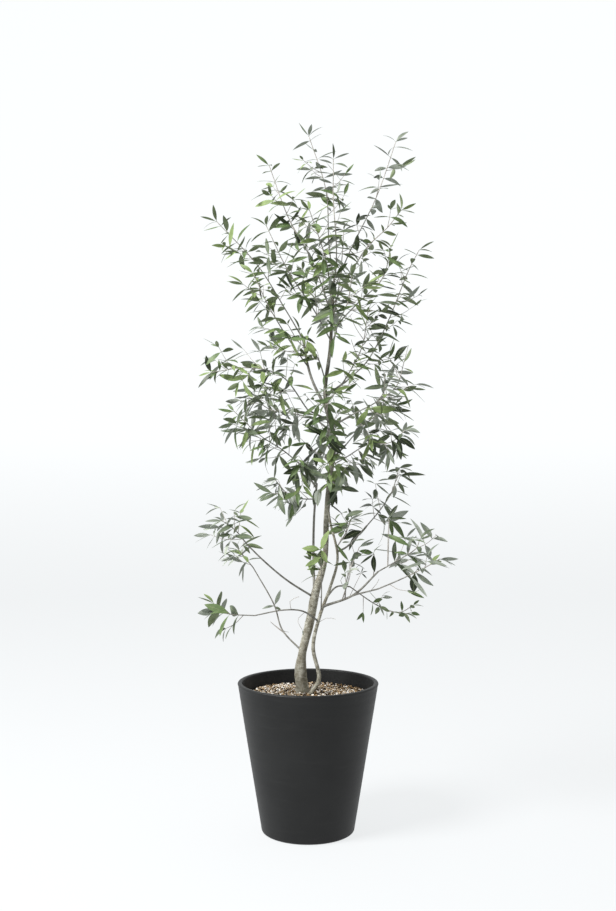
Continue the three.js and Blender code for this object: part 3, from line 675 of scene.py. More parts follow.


# Heights in metres between which painted shade darkens the trunk's bark, where the crown shades it, and how
# far it does
CROWN_SHADE_FROM = 0.7
CROWN_SHADE_TO = 1.0
CROWN_SHADE_SHARE = 0.8


def build_bark(tree, shader):
    """Pale level rings under brown patches, dark cracks and pale dots, and painted crown shade higher up.
    """
    rings = noise_node(tree, 150, 4, 0.65, (0.55, 0.55, 1))
    cracks = noise_node(tree, 330, 4, 0.6, (1, 1, 0.2))
    patch = noise_node(tree, 42, 4, 0.6, (1, 1, 0.4))
    spots = noise_node(tree, 620, 2)
    colour = ramp(tree, rings, [(0.32, (0.15, 0.135, 0.10)), (0.5, (0.33, 0.32, 0.26)),
                                (0.68, (0.54, 0.53, 0.46))])
    colour = mixed(tree, mask(tree, patch, (0.44, 0), (0.7, 0.75)), colour, (0.145, 0.125, 0.085))
    colour = mixed(tree, mask(tree, cracks, (0.3, 0.5), (0.4, 0)), colour, (0.075, 0.065, 0.045))
    colour = mixed(tree, mask(tree, spots, (0.68, 0), (0.74, 0.5)), colour, (0.42, 0.41, 0.36))
    # Painted shade: above these heights the trunk is mixed towards a dark brown, as the crown shades it
    # there
    young = mask(tree, object_height(tree), (CROWN_SHADE_FROM, 0), (CROWN_SHADE_TO, CROWN_SHADE_SHARE))
    fill(tree, shader, {"Base Color": mixed(tree, young, colour, (0.082, 0.08, 0.058))})
    bump(tree, shader, rings, 0.35, 0.0006)


def build_bough(tree, shader):
    """Young bark on the boughs: greyer and darker than the trunk's."""
    patch = noise_node(tree, 70, 4)
    spots = noise_node(tree, 600, 2)
    base = ramp(tree, patch, [(0.35, (0.13, 0.125, 0.105)), (0.55, (0.235, 0.23, 0.205)),
                              (0.7, (0.30, 0.295, 0.26))])
    dotted = mixed(tree, mask(tree, spots, (0.64, 0), (0.72, 0.5)), base, (0.40, 0.39, 0.35))
    fill(tree, shader, {"Base Color": dotted})
    bump(tree, shader, patch, 0.3, 0.0004)


def build_twig(tree, shader):
    patch = noise_node(tree, 60, 3)
    colour = ramp(tree, patch, [(0.35, (0.25, 0.23, 0.20)), (0.55, (0.40, 0.37, 0.335)),
                                (0.7, (0.33, 0.33, 0.255))])
    fill(tree, shader, {"Base Color": colour})
    bump(tree, shader, patch, 0.3, 0.0003)


def build_pot(tree, shader):
    """Charcoal, a little cloudy, with fine grain and faint lighter level bands."""
    grain = noise_node(tree, 420, 3, 0.6)
    bands = noise_node(tree, 60, 3, 0.5, (0.15, 0.15, 1))
    cloud = noise_node(tree, 9, 4)
    base = ramp(tree, cloud, [(0.3, (0.0085, 0.009, 0.0092)), (0.7, (0.013, 0.0137, 0.0138))])
    # Faint lighter level bands round the pot
    banded = mixed(tree, mask(tree, bands, (0.55, 0), (0.8, 0.18)), base, (0.03, 0.0305, 0.0295))
    rough = spread(tree, grain, {"To Min": 0.42, "To Max": 0.62})
    fill(tree, shader, {"Base Color": banded, "Roughness": rough})
    bump(tree, shader, grain, 0.25, 0.0004)


# The studio's grey, its slightly cool glow, and the height in metres where the glow is full
STUDIO_GREY = (0.12, 0.1225, 0.125)
STUDIO_GLOW = (0.972, 0.992, 1)
GLOW_LOW = 0.8
GLOW_FULL = 0.93
GLOW_HEIGHT = 1.1


def build_studio(tree, shader):
    """Matt, and lit from within, a little more towards the top, so that it stays white behind the tree."""
    levels = {"From Max": GLOW_HEIGHT, "To Min": GLOW_LOW, "To Max": GLOW_FULL}
    fill(tree, shader, {"Base Color": (*STUDIO_GREY, 1), "Emission Color": (*STUDIO_GLOW, 1),
                        "Emission Strength": spread(tree, object_height(tree), levels)})


# A mottled skin's patches and grain as the scale and detail of a noise, and the grain's strength and depth
LEAF_GRAIN = ((38, 2), (700, 2), 0.15, 0.0003)
GRIT_GRAIN = ((240, 3), (1500, 3), 0.6, 0.0006)


def mottled(name, texture, rough, gloss, dark, light):
    """A material whose colour wanders between two, with a fine grain."""
    patches, grain, strength, depth = texture

    def build(tree, shader):
        colour = ramp(tree, noise_node(tree, *patches), [(0.35, dark), (0.65, light)])
        fill(tree, shader, {"Base Color": colour})
        bump(tree, shader, noise_node(tree, *grain), strength, depth)

    return material(name, rough, gloss, build)


# The leaves' upper sides by tone, their midribs and their undersides: roughness, gloss and two colours. The
# near-black tone and its dark underside are painted shade, for leaves in the crown's shade
LEAF_LOOKS = {
    "fresh": (0.45, 0.2, (0.14, 0.198, 0.068), (0.207, 0.276, 0.11)),
    "green": (0.45, 0.2, (0.073, 0.119, 0.043), (0.12, 0.172, 0.07)),
    "olive": (0.48, 0.2, (0.074, 0.098, 0.06), (0.12, 0.148, 0.096)),
    "shaded": (0.42, 0.25, (0.018, 0.027, 0.013), (0.034, 0.048, 0.024)),
    # Grey and pale upper sides: partly the leaves' own grey-green, partly painted sheen where gloss catches
    # the sky
    "grey": (0.55, 0.2, (0.15, 0.176, 0.14), (0.23, 0.257, 0.212)),
    "pale": (0.6, 0.2, (0.27, 0.305, 0.25), (0.40, 0.43, 0.375)),
    "midrib": (0.5, 0.2, (0.12, 0.15, 0.07), (0.18, 0.21, 0.11)),
    "under_silver": (0.8, 0.15, (0.25, 0.28, 0.23), (0.36, 0.39, 0.335)),
    "under_green": (0.7, 0.15, (0.14, 0.18, 0.095), (0.225, 0.272, 0.16)),
    "under_shaded": (0.6, 0.2, (0.045, 0.06, 0.032), (0.09, 0.112, 0.06)),
}
TONES = ("fresh", "green", "olive", "shaded", "grey", "pale")
# Undersides of the tones that don't have a silver one
UNDERSIDES = {"fresh": "under_green", "green": "under_green", "shaded": "under_shaded"}
GRIT_COLOURS = {
    "pumice": ((0.66, 0.60, 0.52), (0.95, 0.92, 0.86)),
    "cream": ((0.35, 0.258, 0.158), (0.59, 0.478, 0.338)),
    "tan": ((0.21, 0.128, 0.055), (0.38, 0.252, 0.128)),
    "bark": ((0.02, 0.011, 0.005), (0.06, 0.034, 0.016)),
}
BARK = material("bark", 0.85, 0.25, build_bark)
YOUNG_BARK = material("bark_young", 0.8, 0.25, build_bough)
TWIG = material("twig_bark", 0.7, 0.3, build_twig)
SCAR = mottled("bark_scar", LEAF_GRAIN, 0.95, 0.1, (0.02, 0.016, 0.011), (0.06, 0.05, 0.035))
LEAVES = {look: mottled("leaf_" + look, LEAF_GRAIN, *values) for look, values in LEAF_LOOKS.items()}
GRITS = {kind: mottled("grit_" + kind, GRIT_GRAIN, 0.95, 0.2, *pair) for kind, pair in GRIT_COLOURS.items()}
EARTH = mottled("soil_earth", GRIT_GRAIN, 1.0, 0.2, (0.018, 0.011, 0.006), (0.045, 0.028, 0.016))
POT_SKIN = material("pot_charcoal", 0.5, 0.28, build_pot)
STUDIO = material("studio_white", 1.0, 0.0, build_studio)


# Edges sharper than this, in degrees, stay sharp: on most pieces, on leaves and on the pot
CREASE = 60
LEAF_CREASE = 50
POT_CREASE = 40


# Pieces
def add_object(name, data):
    obj = bpy.data.objects.new(name, data)
    bpy.context.scene.collection.objects.link(obj)
    return obj


def piece(name, vertices, faces, materials, slots=None, smooth=None):
    """One mesh object. Edges sharper than smooth, in degrees, stay sharp."""
    mesh = bpy.data.meshes.new(name)
    mesh.from_pydata((np.asarray(vertices) * MM).tolist(), [], faces)
    for skin in materials:
        mesh.materials.append(skin)
    if slots is not None:
        mesh.polygons.foreach_set("material_index", slots)
    if smooth is not None:
        mesh.polygons.foreach_set("use_smooth", [True] * len(mesh.polygons))
        mesh.set_sharp_from_angle(angle=math.radians(smooth))
    mesh.update()
    return add_object(name, mesh)


def dress(pieces, slot, *nodes):
    """Every piece rides the part's one body and replaces the nodes named; slot is not used."""
    for obj in pieces:
        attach(obj, "root")
        if nodes:
            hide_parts(*nodes)


class Builder:
    """Collects the points, faces and material numbers of many small shapes for one joined mesh."""

    def __init__(self):
        self.points = []
        self.faces = []
        self.slots = []
        self.count = 0

    def add(self, points, faces, slots=None):
        self.points.append(points)
        self.faces += [tuple(self.count + i for i in face) for face in faces]
        self.slots += slots if slots is not None else [0] * len(faces)
        self.count += len(points)

    def make(self, name, materials, smooth=None):
        return piece(name, np.concatenate(self.points), self.faces, materials, self.slots, smooth)


def ring_faces(rings, sides):
    """Quads between rings of points, with flat caps at both ends."""
    faces = []
    for i in range(rings - 1):
        for j in range(sides):
            a, b = i * sides + j, i * sides + (j + 1) % sides
            faces.append((a, b, b + sides, a + sides))
    faces.append(tuple(reversed(range(sides))))
    faces.append(tuple((rings - 1) * sides + j for j in range(sides)))
    return faces


def angles_of(sides):
    return np.arange(sides) * 2 * math.pi / sides


def level_ring(radius, angles, height):
    """Points round the upright axis. The radius and the height may change from point to point."""
    heights = np.broadcast_to(height, angles.shape)
    return np.stack([radius * np.cos(angles), radius * np.sin(angles), heights], axis=1)


def tube(points, radii, sides, standing=False):
    """Rings of points round a line. radii gives each ring's radius at each angle."""
    across = np.array((1.0, 0, 0))
    last = len(points) - 1
    rings = []
    angles = angles_of(sides)
    for i, centre in enumerate(points):
        along = unit(points[min(i + 1, last)] - points[max(i - 1, 0)])
        if i == 0 and standing:
            along = UP
        across = unit(across - along * across.dot(along))
        flat = level_ring(radii(i, angles), angles, 0)
        rings.append(centre + np.outer(flat[:, 0], across) + np.outer(flat[:, 1], np.cross(along, across)))
    return np.concatenate(rings), ring_faces(len(points), sides)


# Dark scars of lost twigs on the trunk: height, turn round it, and size
SCARS = [(530, 3.9, 3.8), (492, 4.5, 4.2), (571, 4.3, 2.6), (404, 4.4, 3.2), (446, 1.0, 3.2),
         (618, 0.6, 2.8), (700, 4.6, 2.0), (812, 3.9, 1.8), (930, 1.4, 2.0)]
# Points round a scar, its breadth as a share of its height, and how far its heart reaches in and out
SCAR_SIDES = 12
SCAR_WIDTH = 0.8
SCAR_DEPTH = 2.5
HEART_LIFT = 0.06
# A scar's rings from its outer edge in: size as a share of the scar's, and lift off the bark
SCAR_RINGS = ((1.5, -0.5), (1.15, 0.55), (0.8, 0.6), (0.62, 0.2))


def add_scars(rims, hearts):
    """Each scar is a raised oval rim round a dark sunken heart, seated on the trunk's side."""
    turns = angles_of(SCAR_SIDES)
    trunk = limbs["trunk"]
    heights = trunk.points[:, 2]
    for height, turn, size in SCARS:
        share = float(np.interp(height, heights, np.linspace(0, 1, len(heights))))
        out = np.array((math.cos(turn), math.sin(turn), 0.0))
        centre = trunk.point(share) + out * trunk.radius(share)
        rings = []
        for reach, lift in SCAR_RINGS:
            sideways = reach * size * SCAR_WIDTH * np.cos(turns)
            upwards = reach * size * np.sin(turns)
            sag = sideways ** 2 / (2 * trunk.radius(share))
            rings.append(centre + np.outer(sideways, np.cross(UP, out)) + np.outer(upwards, UP)
                         + np.outer(lift - sag, out))
        rims.add(np.concatenate(rings), ring_faces(len(rings), SCAR_SIDES))
        heart = np.concatenate([rings[-1] + out * HEART_LIFT, [centre - out * SCAR_DEPTH]])
        fan = [((j + 1) % SCAR_SIDES, j, SCAR_SIDES) for j in range(SCAR_SIDES)]
        hearts.add(heart, [tuple(range(SCAR_SIDES)), *fan])


# Knots and old leaf scars on the trunk: height, turn round it, height of the bump, and its spread
KNOTS = [(383, 4.2, 2.2, 9), (391, 1.2, 1.6, 8), (488, 5.0, 1.8, 8), (527, 3.6, 1.5, 7), (560, 1.0, 1.4, 7),
         (612, 4.4, 1.3, 6), (655, 2.2, 1.2, 6), (742, 4.9, 0.9, 5), (835, 0.6, 0.9, 5), (925, 4.6, 1.0, 5),
         (1012, 2.6, 0.9, 5), (1150, 4.0, 0.7, 4), (1262, 1.5, 0.6, 4)]
# The root flare: the height over which it fades, how far it spreads, and its lobes
FLARE_HEIGHT = 22
FLARE_SPREAD = 0.34
FLARE_LOBES = 4
FLARE_LOBE_DEPTH = 0.4
# A branch collar: the length over which it fades, and how far it swells
COLLAR_LENGTH = 9
BOUGH_COLLAR = 0.5
# Bark relief: how fine each pattern is across and along the limb
CRACKS = (0.22, 0.04)
WRINKLES = (0.06, 0.35)
WARTS = (0.4, 0.3)
SWELL_ALONG = 0.03
# How high cracks and wrinkles, warts and the swell stand, as shares of the radius
FINE_RELIEF = 0.022
WART_RELIEF = 0.09
SWELL_RELIEF = 0.06
# Only what rises over this level is a wart
WART_LEVEL = 0.38
# A limb has all of its relief from this radius up, and down to half of it when thinner
FULL_RELIEF_RADIUS = 7


def relief(points, radius, seed):
    """Bark relief, as a share of the radius: cracks, level wrinkles, small warts and a slow swell."""
    out = []
    for x, y, z in points:
        crack, wrinkle, wart = (noise.noise(Vector((x * across, y * across, z * along + seed)))
                                for across, along in (CRACKS, WRINKLES, WARTS))
        swell = noise.noise(Vector((seed, 0, z * SWELL_ALONG)))
        fine = FINE_RELIEF * crack + FINE_RELIEF * wrinkle
        out.append(fine + WART_RELIEF * max(0.0, wart - WART_LEVEL) + SWELL_RELIEF * swell)
    return np.array(out) * min(1.0, 0.5 + 0.5 * radius / FULL_RELIEF_RADIUS)


def add_limb(builder, name, sides, step, seed, swell_foot=0.0):
    """One limb with its bark relief. Its foot swells into what carries it, as a branch collar does."""
    limb = limbs[name]
    shares = np.linspace(0, 1, max(3, int(limb.length / step)) + 1)
    points = np.array([limb.point(s) for s in shares])
    if len(points) > 4:
        points[1:-1] = (points[:-2] + 2 * points[1:-1] + points[2:]) / 4
    widths = np.array([limb.radius(s) for s in shares])
    collar = 1 + swell_foot * np.exp(-shares * limb.length / COLLAR_LENGTH)

    def radii(i, angles):
        radius = widths[i] * collar[i]
        out = radius * (1 + relief(points[i] + level_ring(radius, angles, 0), radius, seed))
        if name == "trunk":
            z = points[i][2]
            flare = FLARE_SPREAD * math.exp(-(z - SOIL_TOP) / FLARE_HEIGHT)
            lobes = 1 - FLARE_LOBE_DEPTH + FLARE_LOBE_DEPTH * np.cos(FLARE_LOBES * angles)
            out = out * (1 + flare * lobes)
            for height, turn, rise, reach in KNOTS:
                around = (angles - turn + math.pi) % (2 * math.pi) - math.pi
                out = out + rise * np.exp(-((z - height) / reach) ** 2 - (around * radius / reach) ** 2)
        return out

    builder.add(*tube(points, radii, sides, standing=name in ("trunk", "second_stem")))


def make_wood():
    """The trunk and second stem as one bark mesh with its scars, and the boughs as another."""
    trunk = Builder()
    add_limb(trunk, "trunk", sides=40, step=3, seed=1)
    add_limb(trunk, "second_stem", sides=24, step=3, seed=2)
    hearts = Builder()
    add_scars(trunk, hearts)
    dress([trunk.make("trunk_bark", [BARK], CREASE)], "bark", "trunk", "second_stem")
    dress([hearts.make("trunk_scars", [SCAR])], "bark")
    boughs = Builder()
    names = [bough[0] for bough in BOUGHS]
    for seed, name in enumerate(names, 10):
        add_limb(boughs, name, sides=14, step=4, seed=seed, swell_foot=BOUGH_COLLAR)
    dress([boughs.make("bough_bark", [YOUNG_BARK], CREASE)], "bark", *names)


# A leaf's stations from its root to its tip: share of the length, and half width as a share of the widest
LEAF_STATIONS = [(0, 0.10), (0.05, 0.09), (0.1, 0.19), (0.17, 0.46), (0.28, 0.78), (0.42, 0.98),
                 (0.57, 0.98), (0.71, 0.82), (0.84, 0.54), (0.94, 0.24), (1.0, 0.02)]
# Across a leaf: share of the half width, for the upper side from edge to edge and then back below
LEAF_ACROSS = [-1, -0.52, -0.07, 0.07, 0.52, 1, 0.5, 0, -0.5]
LEAF_UPPER = 6
RIB_COLUMN = 2
# A leaf's thickness, its width as a share of the usual, and its arch and fold. The pairs are as in the rule
# above, and the powers keep most leaves near the least. Few leaves arch up, and these do so less
LEAF_THICK = 0.5
LEAF_WIDTH = (0.88, 0.5)
WIDTH_POWER = 1.6
LEAF_ARCH = (0.04, 0.34)
ARCH_POWER = 1.3
ARCHED_DOWN = 0.9
ARCH_UP = -0.4
LEAF_FOLD = (0.12, 0.32)
LEAF_TWIST = 0.9
LEAF_SWAY = 0.10
# The stalk is thicker and flatter than the blade. The blade thins to its tip and to its edges
STALK_END = 0.1
STALK_RADIUS = 0.12
STALK_THICK = 1.5
STALK_FOLD = 0.3
TIP_THINNING = 0.5
EDGE_THINNING = 0.4
# The upper side's edges drop by shares of the thickness and of the half width
THICK_DROP = 0.35
WIDE_DROP = 0.10


def leaf_mesh(leaf, keys):
    """A closed leaf with a pale midrib: it folds up along the rib, arches back and twists a little."""
    draw = draws(*keys)
    length = leaf["length"]
    wide = varied(LEAF_WIDTH, draw(WIDTH) ** WIDTH_POWER)
    half = 0.5 * LEAF_SLIMNESS * length * leaf["breadth"] * wide
    arch = varied(LEAF_ARCH, draw(ARCH) ** ARCH_POWER) * length
    if draw(ARCH_WAY) >= ARCHED_DOWN:
        arch *= ARCH_UP
    fold = varied(LEAF_FOLD, draw(FOLD))
    twist = LEAF_TWIST * (draw(TWIST) - 0.5)
    sway = LEAF_SWAY * (draw(SWAY) - 0.5) * length
    along, face = leaf["along"], leaf["face"]
    side = np.cross(along, face)
    points = []
    for share, width in LEAF_STATIONS:
        turn = twist * share
        here = side * math.cos(turn) + face * math.sin(turn)
        up = face * math.cos(turn) - side * math.sin(turn)
        centre = leaf["root"] + along * length * (share - 0.5 * (arch / length) ** 2 * share ** 2)
        centre = centre - face * arch * share ** 2 + side * sway * math.sin(math.pi * share)
        reach = max(width * half, STALK_RADIUS)
        thick = LEAF_THICK * (STALK_THICK if share < STALK_END else 1) * (1 - TIP_THINNING * share)
        for k, across in enumerate(LEAF_ACROSS):
            lift = fold * reach * abs(across) * (1.0 if share > STALK_END else STALK_FOLD)
            if k >= LEAF_UPPER:
                lift -= thick * (1 - EDGE_THINNING * abs(across))
            elif abs(across) == 1:
                lift -= THICK_DROP * thick + WIDE_DROP * reach
            points.append(centre + here * reach * across + up * lift)
    return np.array(points)


def leaf_faces():
    """A leaf's faces, with material 0 on its upper side, 1 on its stalk and rib, and 2 below."""
    sides = len(LEAF_ACROSS)
    faces = [tuple(reversed(f)) for f in ring_faces(len(LEAF_STATIONS), sides)]
    slots = []
    for station in range(len(LEAF_STATIONS) - 1):
        for column in range(sides):
            if column == RIB_COLUMN or station == 0:
                slots.append(1)
            else:
                slots.append(0 if column < LEAF_UPPER - 1 else 2)
    return faces, slots + [1, 1]


TWIG_SIDES = 6
# The share of a mass's stem, from its foot, that has the boughs' bark
OLD_WOOD_SHARE = 0.55


def make_foliage():
    """All masses' and shoots' twigs in one mesh, and their leaves in one mesh for each tone."""
    twig_wood = Builder()
    blades = {tone: Builder() for tone in TONES}
    faces, slots = leaf_faces()
    shoots = [grow_shoot(index) for index in range(len(SHOOTS))]
    taken = np.concatenate([leaf_places(leaf, leaf["breadth"]) for _, leaves in shoots for leaf in leaves])
    masses = [grow_mass(order, taken) for order in range(len(MASSES))]
    for order, (twigs, leaves) in enumerate(masses + shoots):
        for index, limb in enumerate(twigs):
            points, sides = tube(limb.points, lambda i, _, widths=limb.widths: widths[i], TWIG_SIDES)
            old = OLD_WOOD_SHARE * len(sides) if index == 0 and order < len(masses) else 0
            twig_wood.add(points, sides, [int(face < old) for face in range(len(sides))])
        for number, leaf in enumerate(leaves):
            blades[leaf["tone"]].add(leaf_mesh(leaf, (order, number)), faces, slots)
    made = [twig_wood.make("twig_wood", [TWIG, YOUNG_BARK], CREASE)]
    for tone in TONES:
        under = UNDERSIDES.get(tone, "under_silver")
        skins = [LEAVES[tone], LEAVES["midrib"], LEAVES[under]]
        made.append(blades[tone].make("leaves_" + tone, skins, LEAF_CREASE))
    dress(made, "foliage", *stems)


def outer_radius(z):
    return POT_BASE_RADIUS + (POT_RIM_RADIUS - POT_BASE_RADIUS) * z / POT_HEIGHT


def arc(centre_r, centre_z, radius, start, end, steps):
    """Part of the pot's profile: an arc from one angle in degrees to another."""
    angles = np.radians(np.linspace(start, end, steps + 1))
    return [(centre_r + radius * math.cos(a), centre_z + radius * math.sin(a)) for a in angles]


# The ridges' height, how fine the wide and the narrow ones are, and the narrow ones' share of the height
RIDGE_HEIGHT = (0.12, 0.22)
WIDE_RIDGES = 0.09
NARROW_RIDGES = 0.25
NARROW_HEIGHT = 0.6


def ridge(z):
    """Faint level ridges on the pot's side, stronger in the upper part."""
    wide = noise.noise(Vector((0, 7.3, z * WIDE_RIDGES)))
    narrow = noise.noise(Vector((3.1, 0, z * NARROW_RIDGES)))
    return varied(RIDGE_HEIGHT, (z / POT_HEIGHT) ** 2) * (wide + NARROW_HEIGHT * narrow)


# The pot's mesh: points round it, rings up its sides, steps round its edges, and the rings' radii on its
# underside and floor, where the smallest stands for the axis
POT_POINTS = 160
OUTER_RINGS = 120
INNER_RINGS = 30
FOOT_STEPS = 8
LIP_STEPS = 6
UNDERSIDE_RADII = (0.01, 40, 90)
FLOOR_RADII = (60, 0.01)
# How far the straight sides stop short of the rounded edges
EDGE_CLEAR = 3
# How far the pot is out of round, as a share of its radius
OUT_OF_ROUND = 0.0006


def make_pot():
    """The pot: a flat underside, a rounded foot, ridged sides, a rounded lip and a plain inside."""
    foot = outer_radius(POT_FOOT_EDGE) - POT_FOOT_EDGE
    lip_z = POT_HEIGHT - POT_LIP_EDGE
    lip_inner = POT_RIM_RADIUS - POT_LIP
    inner_foot = outer_radius(POT_FLOOR) - POT_WALL
    slope = (lip_inner - inner_foot) / (lip_z - POT_FLOOR)
    outer_heights = np.linspace(POT_FOOT_EDGE + EDGE_CLEAR, lip_z - EDGE_CLEAR, OUTER_RINGS)
    inner_heights = np.linspace(lip_z - EDGE_CLEAR, POT_FLOOR, INNER_RINGS)
    profile = [(radius, 0) for radius in UNDERSIDE_RADII]
    profile += arc(foot, POT_FOOT_EDGE, POT_FOOT_EDGE, -90, 0, FOOT_STEPS)
    profile += [(outer_radius(z) + ridge(z), z) for z in outer_heights]
    profile += arc(POT_RIM_RADIUS - POT_LIP_EDGE, lip_z, POT_LIP_EDGE, 0, 90, LIP_STEPS)
    profile += arc(lip_inner + POT_LIP_EDGE, lip_z, POT_LIP_EDGE, 90, 180, LIP_STEPS)
    profile += [(lip_inner - slope * (lip_z - z), z) for z in inner_heights]
    profile += [(radius, POT_FLOOR) for radius in FLOOR_RADII]
    angles = angles_of(POT_POINTS)
    rings = [level_ring(radius * (1 + OUT_OF_ROUND * np.sin(3 * angles + 0.02 * z)), angles, z)
             for radius, z in profile]
    faces = ring_faces(len(profile), POT_POINTS)
    dress([piece("pot_shell", np.concatenate(rings), faces, [POT_SKIN], smooth=POT_CREASE)], "pot", "pot")


def soil_height(radius):
    """The soil's height: level round the stems, falling a little to the wall."""
    wall = outer_radius(SOIL_TOP) - POT_WALL
    fall = max(0.0, (radius - SOIL_LEVEL_RADIUS) / (wall - SOIL_LEVEL_RADIUS))
    return SOIL_TOP - SOIL_EDGE_DROP * fall


def rough_earth(radius, angle):
    """The height of the earth under the grit, with small lumps."""
    x, y = radius * math.cos(angle), radius * math.sin(angle)
    lump = noise.noise(Vector((x * LUMP_GRAIN, y * LUMP_GRAIN, 5)))
    return soil_height(radius) - EARTH_SUNK + LUMP_HEIGHT * lump


def pebble(rng, size, height):
    """A small uneven stone: an icosahedron pushed in and out, and squashed."""
    points = ICO * (1 + DENTS * (rng.random((len(ICO), 1)) - 0.5)) * size
    points = points * (1, varied(BREADTH, rng.random()), height)
    a, _ = rng.random(2) * 2 * math.pi
    tilt = GRIT_TILT * (rng.random() - 0.5)
    turn = np.array(((math.cos(a), -math.sin(a), 0), (math.sin(a), math.cos(a), 0), (0, 0, 1)))
    lean = np.array(((1, 0, 0), (0, math.cos(tilt), -math.sin(tilt)), (0, math.sin(tilt), math.cos(tilt))))
    return points @ (turn @ lean).T


# The icosahedron that every bit of grit starts from: its corners and faces
GOLD = (1 + math.sqrt(5)) / 2
ICO = np.array([(-1, GOLD, 0), (1, GOLD, 0), (-1, -GOLD, 0), (1, -GOLD, 0), (0, -1, GOLD), (0, 1, GOLD),
                (0, -1, -GOLD), (0, 1, -GOLD), (GOLD, 0, -1), (GOLD, 0, 1), (-GOLD, 0, -1), (-GOLD, 0, 1)])
ICO = ICO / np.linalg.norm(ICO[0])
ICO_FACES = [(0, 11, 5), (0, 5, 1), (0, 1, 7), (0, 7, 10), (0, 10, 11), (1, 5, 9), (5, 11, 4), (11, 10, 2),
             (10, 7, 6), (7, 1, 8), (3, 9, 4), (3, 4, 2), (3, 2, 6), (3, 6, 8), (3, 8, 9), (4, 9, 5),
             (2, 4, 11), (6, 2, 10), (8, 6, 7), (9, 8, 1)]
# The bed of earth: points round it, rings across it, its gap to the wall, how much narrower and deeper its
# underside is, how far its top lies under the soil's height, and its lumps
BED_POINTS = 96
BED_RINGS = 40
BED_GAP = 1.5
BED_TAPER = 3
BED_DEPTH = 25
EARTH_SUNK = 3
LUMP_HEIGHT = 2
LUMP_GRAIN = 0.12
# The grit: how many bits, their size, their gap to the bed's edge, how low the lowest lie, and the layer's
# thickness
GRIT_SEED = 7
GRIT_COUNT = 6800
GRIT_SIZE = (1.0, 3.2)
GRIT_GAP = 1
GRIT_SUNK = 3.4
GRIT_LAYER = 4.6
# A bit's dents, its breadth and its height as shares of its size, and its tilt
DENTS = 0.6
BREADTH = (0.6, 0.4)
STONE_HEIGHT = 0.75
BARK_HEIGHT = 0.5
GRIT_TILT = 0.5
# The share of pale grit in the middle, how much it falls to the right edge, how much is missing at the
# wall, and how wide the band is that misses it, as a share of the radius
PALE_SHARE = 0.54
PALE_SLOPE = 0.14
PALE_LOSS = 0.7
WALL_BAND = 0.24
# How the pale and the dark grit share out their kinds
PALE_KINDS = {"pumice": 0.46, "cream": 0.54}
DARK_KINDS = {"tan": 0.38, "bark": 0.62}


def make_soil():
    """A rough bed of earth with loose pumice and bark grit over it."""
    wall = outer_radius(SOIL_TOP) - POT_WALL - BED_GAP
    angles = angles_of(BED_POINTS)
    rings = [level_ring(wall - BED_TAPER, angles, SOIL_TOP - BED_DEPTH)]
    for row in range(BED_RINGS):
        radius = wall * (1 - row / BED_RINGS)
        rings.append(level_ring(radius, angles, [rough_earth(radius, angle) for angle in angles]))
    faces = ring_faces(len(rings), BED_POINTS)
    made = [piece("soil_bed", np.concatenate(rings), faces, [EARTH], smooth=CREASE)]
    rng = np.random.default_rng(GRIT_SEED)
    kinds = [*PALE_KINDS, *DARK_KINDS]
    heaps = {kind: Builder() for kind in kinds}
    for _ in range(GRIT_COUNT):
        size = varied(GRIT_SIZE, rng.random() ** 3)
        radius = (wall - size - GRIT_GAP) * math.sqrt(rng.random())
        turn = 2 * math.pi * rng.random()
        x, y = radius * math.cos(turn), radius * math.sin(turn)
        near_wall = max(0.0, (radius / wall - 1 + WALL_BAND) / WALL_BAND)
        pale = (PALE_SHARE - PALE_SLOPE * x / wall) * (1 - PALE_LOSS * near_wall)
        shares = [share * pale for share in PALE_KINDS.values()]
        shares += [share * (1 - pale) for share in DARK_KINDS.values()]
        kind = kinds[rng.choice(len(kinds), p=shares)]
        z = soil_height(radius) - GRIT_SUNK + GRIT_LAYER * rng.random()
        height = BARK_HEIGHT if kind == "bark" else STONE_HEIGHT
        heaps[kind].add(pebble(rng, size, height) + (x, y, z), ICO_FACES)
    made += [heaps[kind].make("grit_" + kind, [GRITS[kind]]) for kind in kinds]
    dress(made, "soil", "soil")


# The camera, the floor and the lights, in metres
CAMERA_DISTANCE = 2.86
CAMERA_HEIGHT = 0.9575
FOCAL_PIXELS = 1117
PHOTO_HEIGHT = 911
SENSOR = 36


def make_camera():
    """A level camera in front of the tree, with the photo's field of view."""
    data = bpy.data.cameras.new("camera")
    data.sensor_fit = "AUTO"
    data.sensor_width = SENSOR
    data.lens = SENSOR * FOCAL_PIXELS / PHOTO_HEIGHT
    camera = add_object("camera", data)
    camera.location = (0, -CAMERA_DISTANCE, CAMERA_HEIGHT)
    camera.rotation_euler = (math.pi / 2, 0, 0)
    bpy.context.scene.camera = camera


# The sweep, in millimetres
SWEEP_WIDTH = 18000
SWEEP_FRONT = -7000
SWEEP_FOOT = 4500
SWEEP_RADIUS = 2500
SWEEP_TOP = 8000
SWEEP_BELOW = 0.5
SWEEP_STEPS = 24


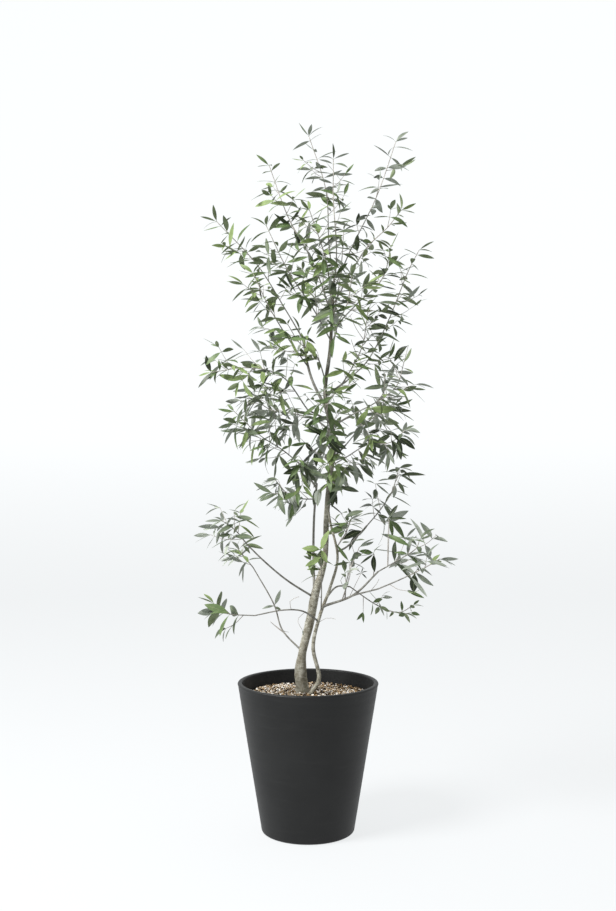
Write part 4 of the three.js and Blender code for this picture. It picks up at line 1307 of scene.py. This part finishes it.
def make_studio():
    """A floor that curves up into a wall behind the tree."""
    turns = np.radians(np.linspace(0, 90, SWEEP_STEPS + 1))
    profile = [(SWEEP_FRONT, 0), (0, 0)]
    profile += [(SWEEP_FOOT + SWEEP_RADIUS * math.sin(a), SWEEP_RADIUS * (1 - math.cos(a))) for a in turns]
    profile.append((SWEEP_FOOT + SWEEP_RADIUS, SWEEP_TOP))
    half = SWEEP_WIDTH / 2
    points = [(x, y, z - SWEEP_BELOW) for y, z in profile for x in (-half, half)]
    faces = [(2 * i, 2 * i + 1, 2 * i + 3, 2 * i + 2) for i in range(len(profile) - 1)]
    sweep = piece("studio_sweep", points, faces, [STUDIO], smooth=CREASE)


# The one light, in metres and watts
KEY_PLACE = (-2.4, -1.7, 3.4)
KEY_TARGET = (0, 0, 1.0)
KEY_SIZE = 1.7
KEY_POWER = 262
# The world's light on the camera's side and behind the tree, and the directions between which it grows
WORLD_FRONT = 0.28
WORLD_BACK = 0.85
WORLD_FROM = -0.8
WORLD_TO = 0.3


def make_light():
    """A studio that is darker on the camera's side, with one large soft light high on the left."""
    world = bpy.data.worlds.new("studio")
    world.use_nodes = True
    tree = world.node_tree
    way = add_node(tree, "TexCoord", {}).outputs["Generated"]
    backwards = add_node(tree, "SeparateXYZ", {"Vector": way}).outputs["Y"]
    levels = {"From Min": WORLD_FROM, "From Max": WORLD_TO, "To Min": WORLD_FRONT, "To Max": WORLD_BACK}
    strength = spread(tree, backwards, levels)
    fill(tree, tree.nodes["Background"], {"Color": (1, 1, 1, 1), "Strength": strength})
    bpy.context.scene.world = world
    data = bpy.data.lights.new("key", "AREA")
    data.shape = "DISK"
    data.size = KEY_SIZE
    data.energy = KEY_POWER
    light = add_object("key", data)
    light.location = KEY_PLACE
    light.rotation_euler = (Vector(KEY_TARGET) - Vector(KEY_PLACE)).to_track_quat("-Z", "Y").to_euler()
    bpy.context.scene.view_settings.view_transform = "Standard"


make_camera()
make_pot()
make_soil()
make_wood()
make_foliage()
make_studio()
make_light()
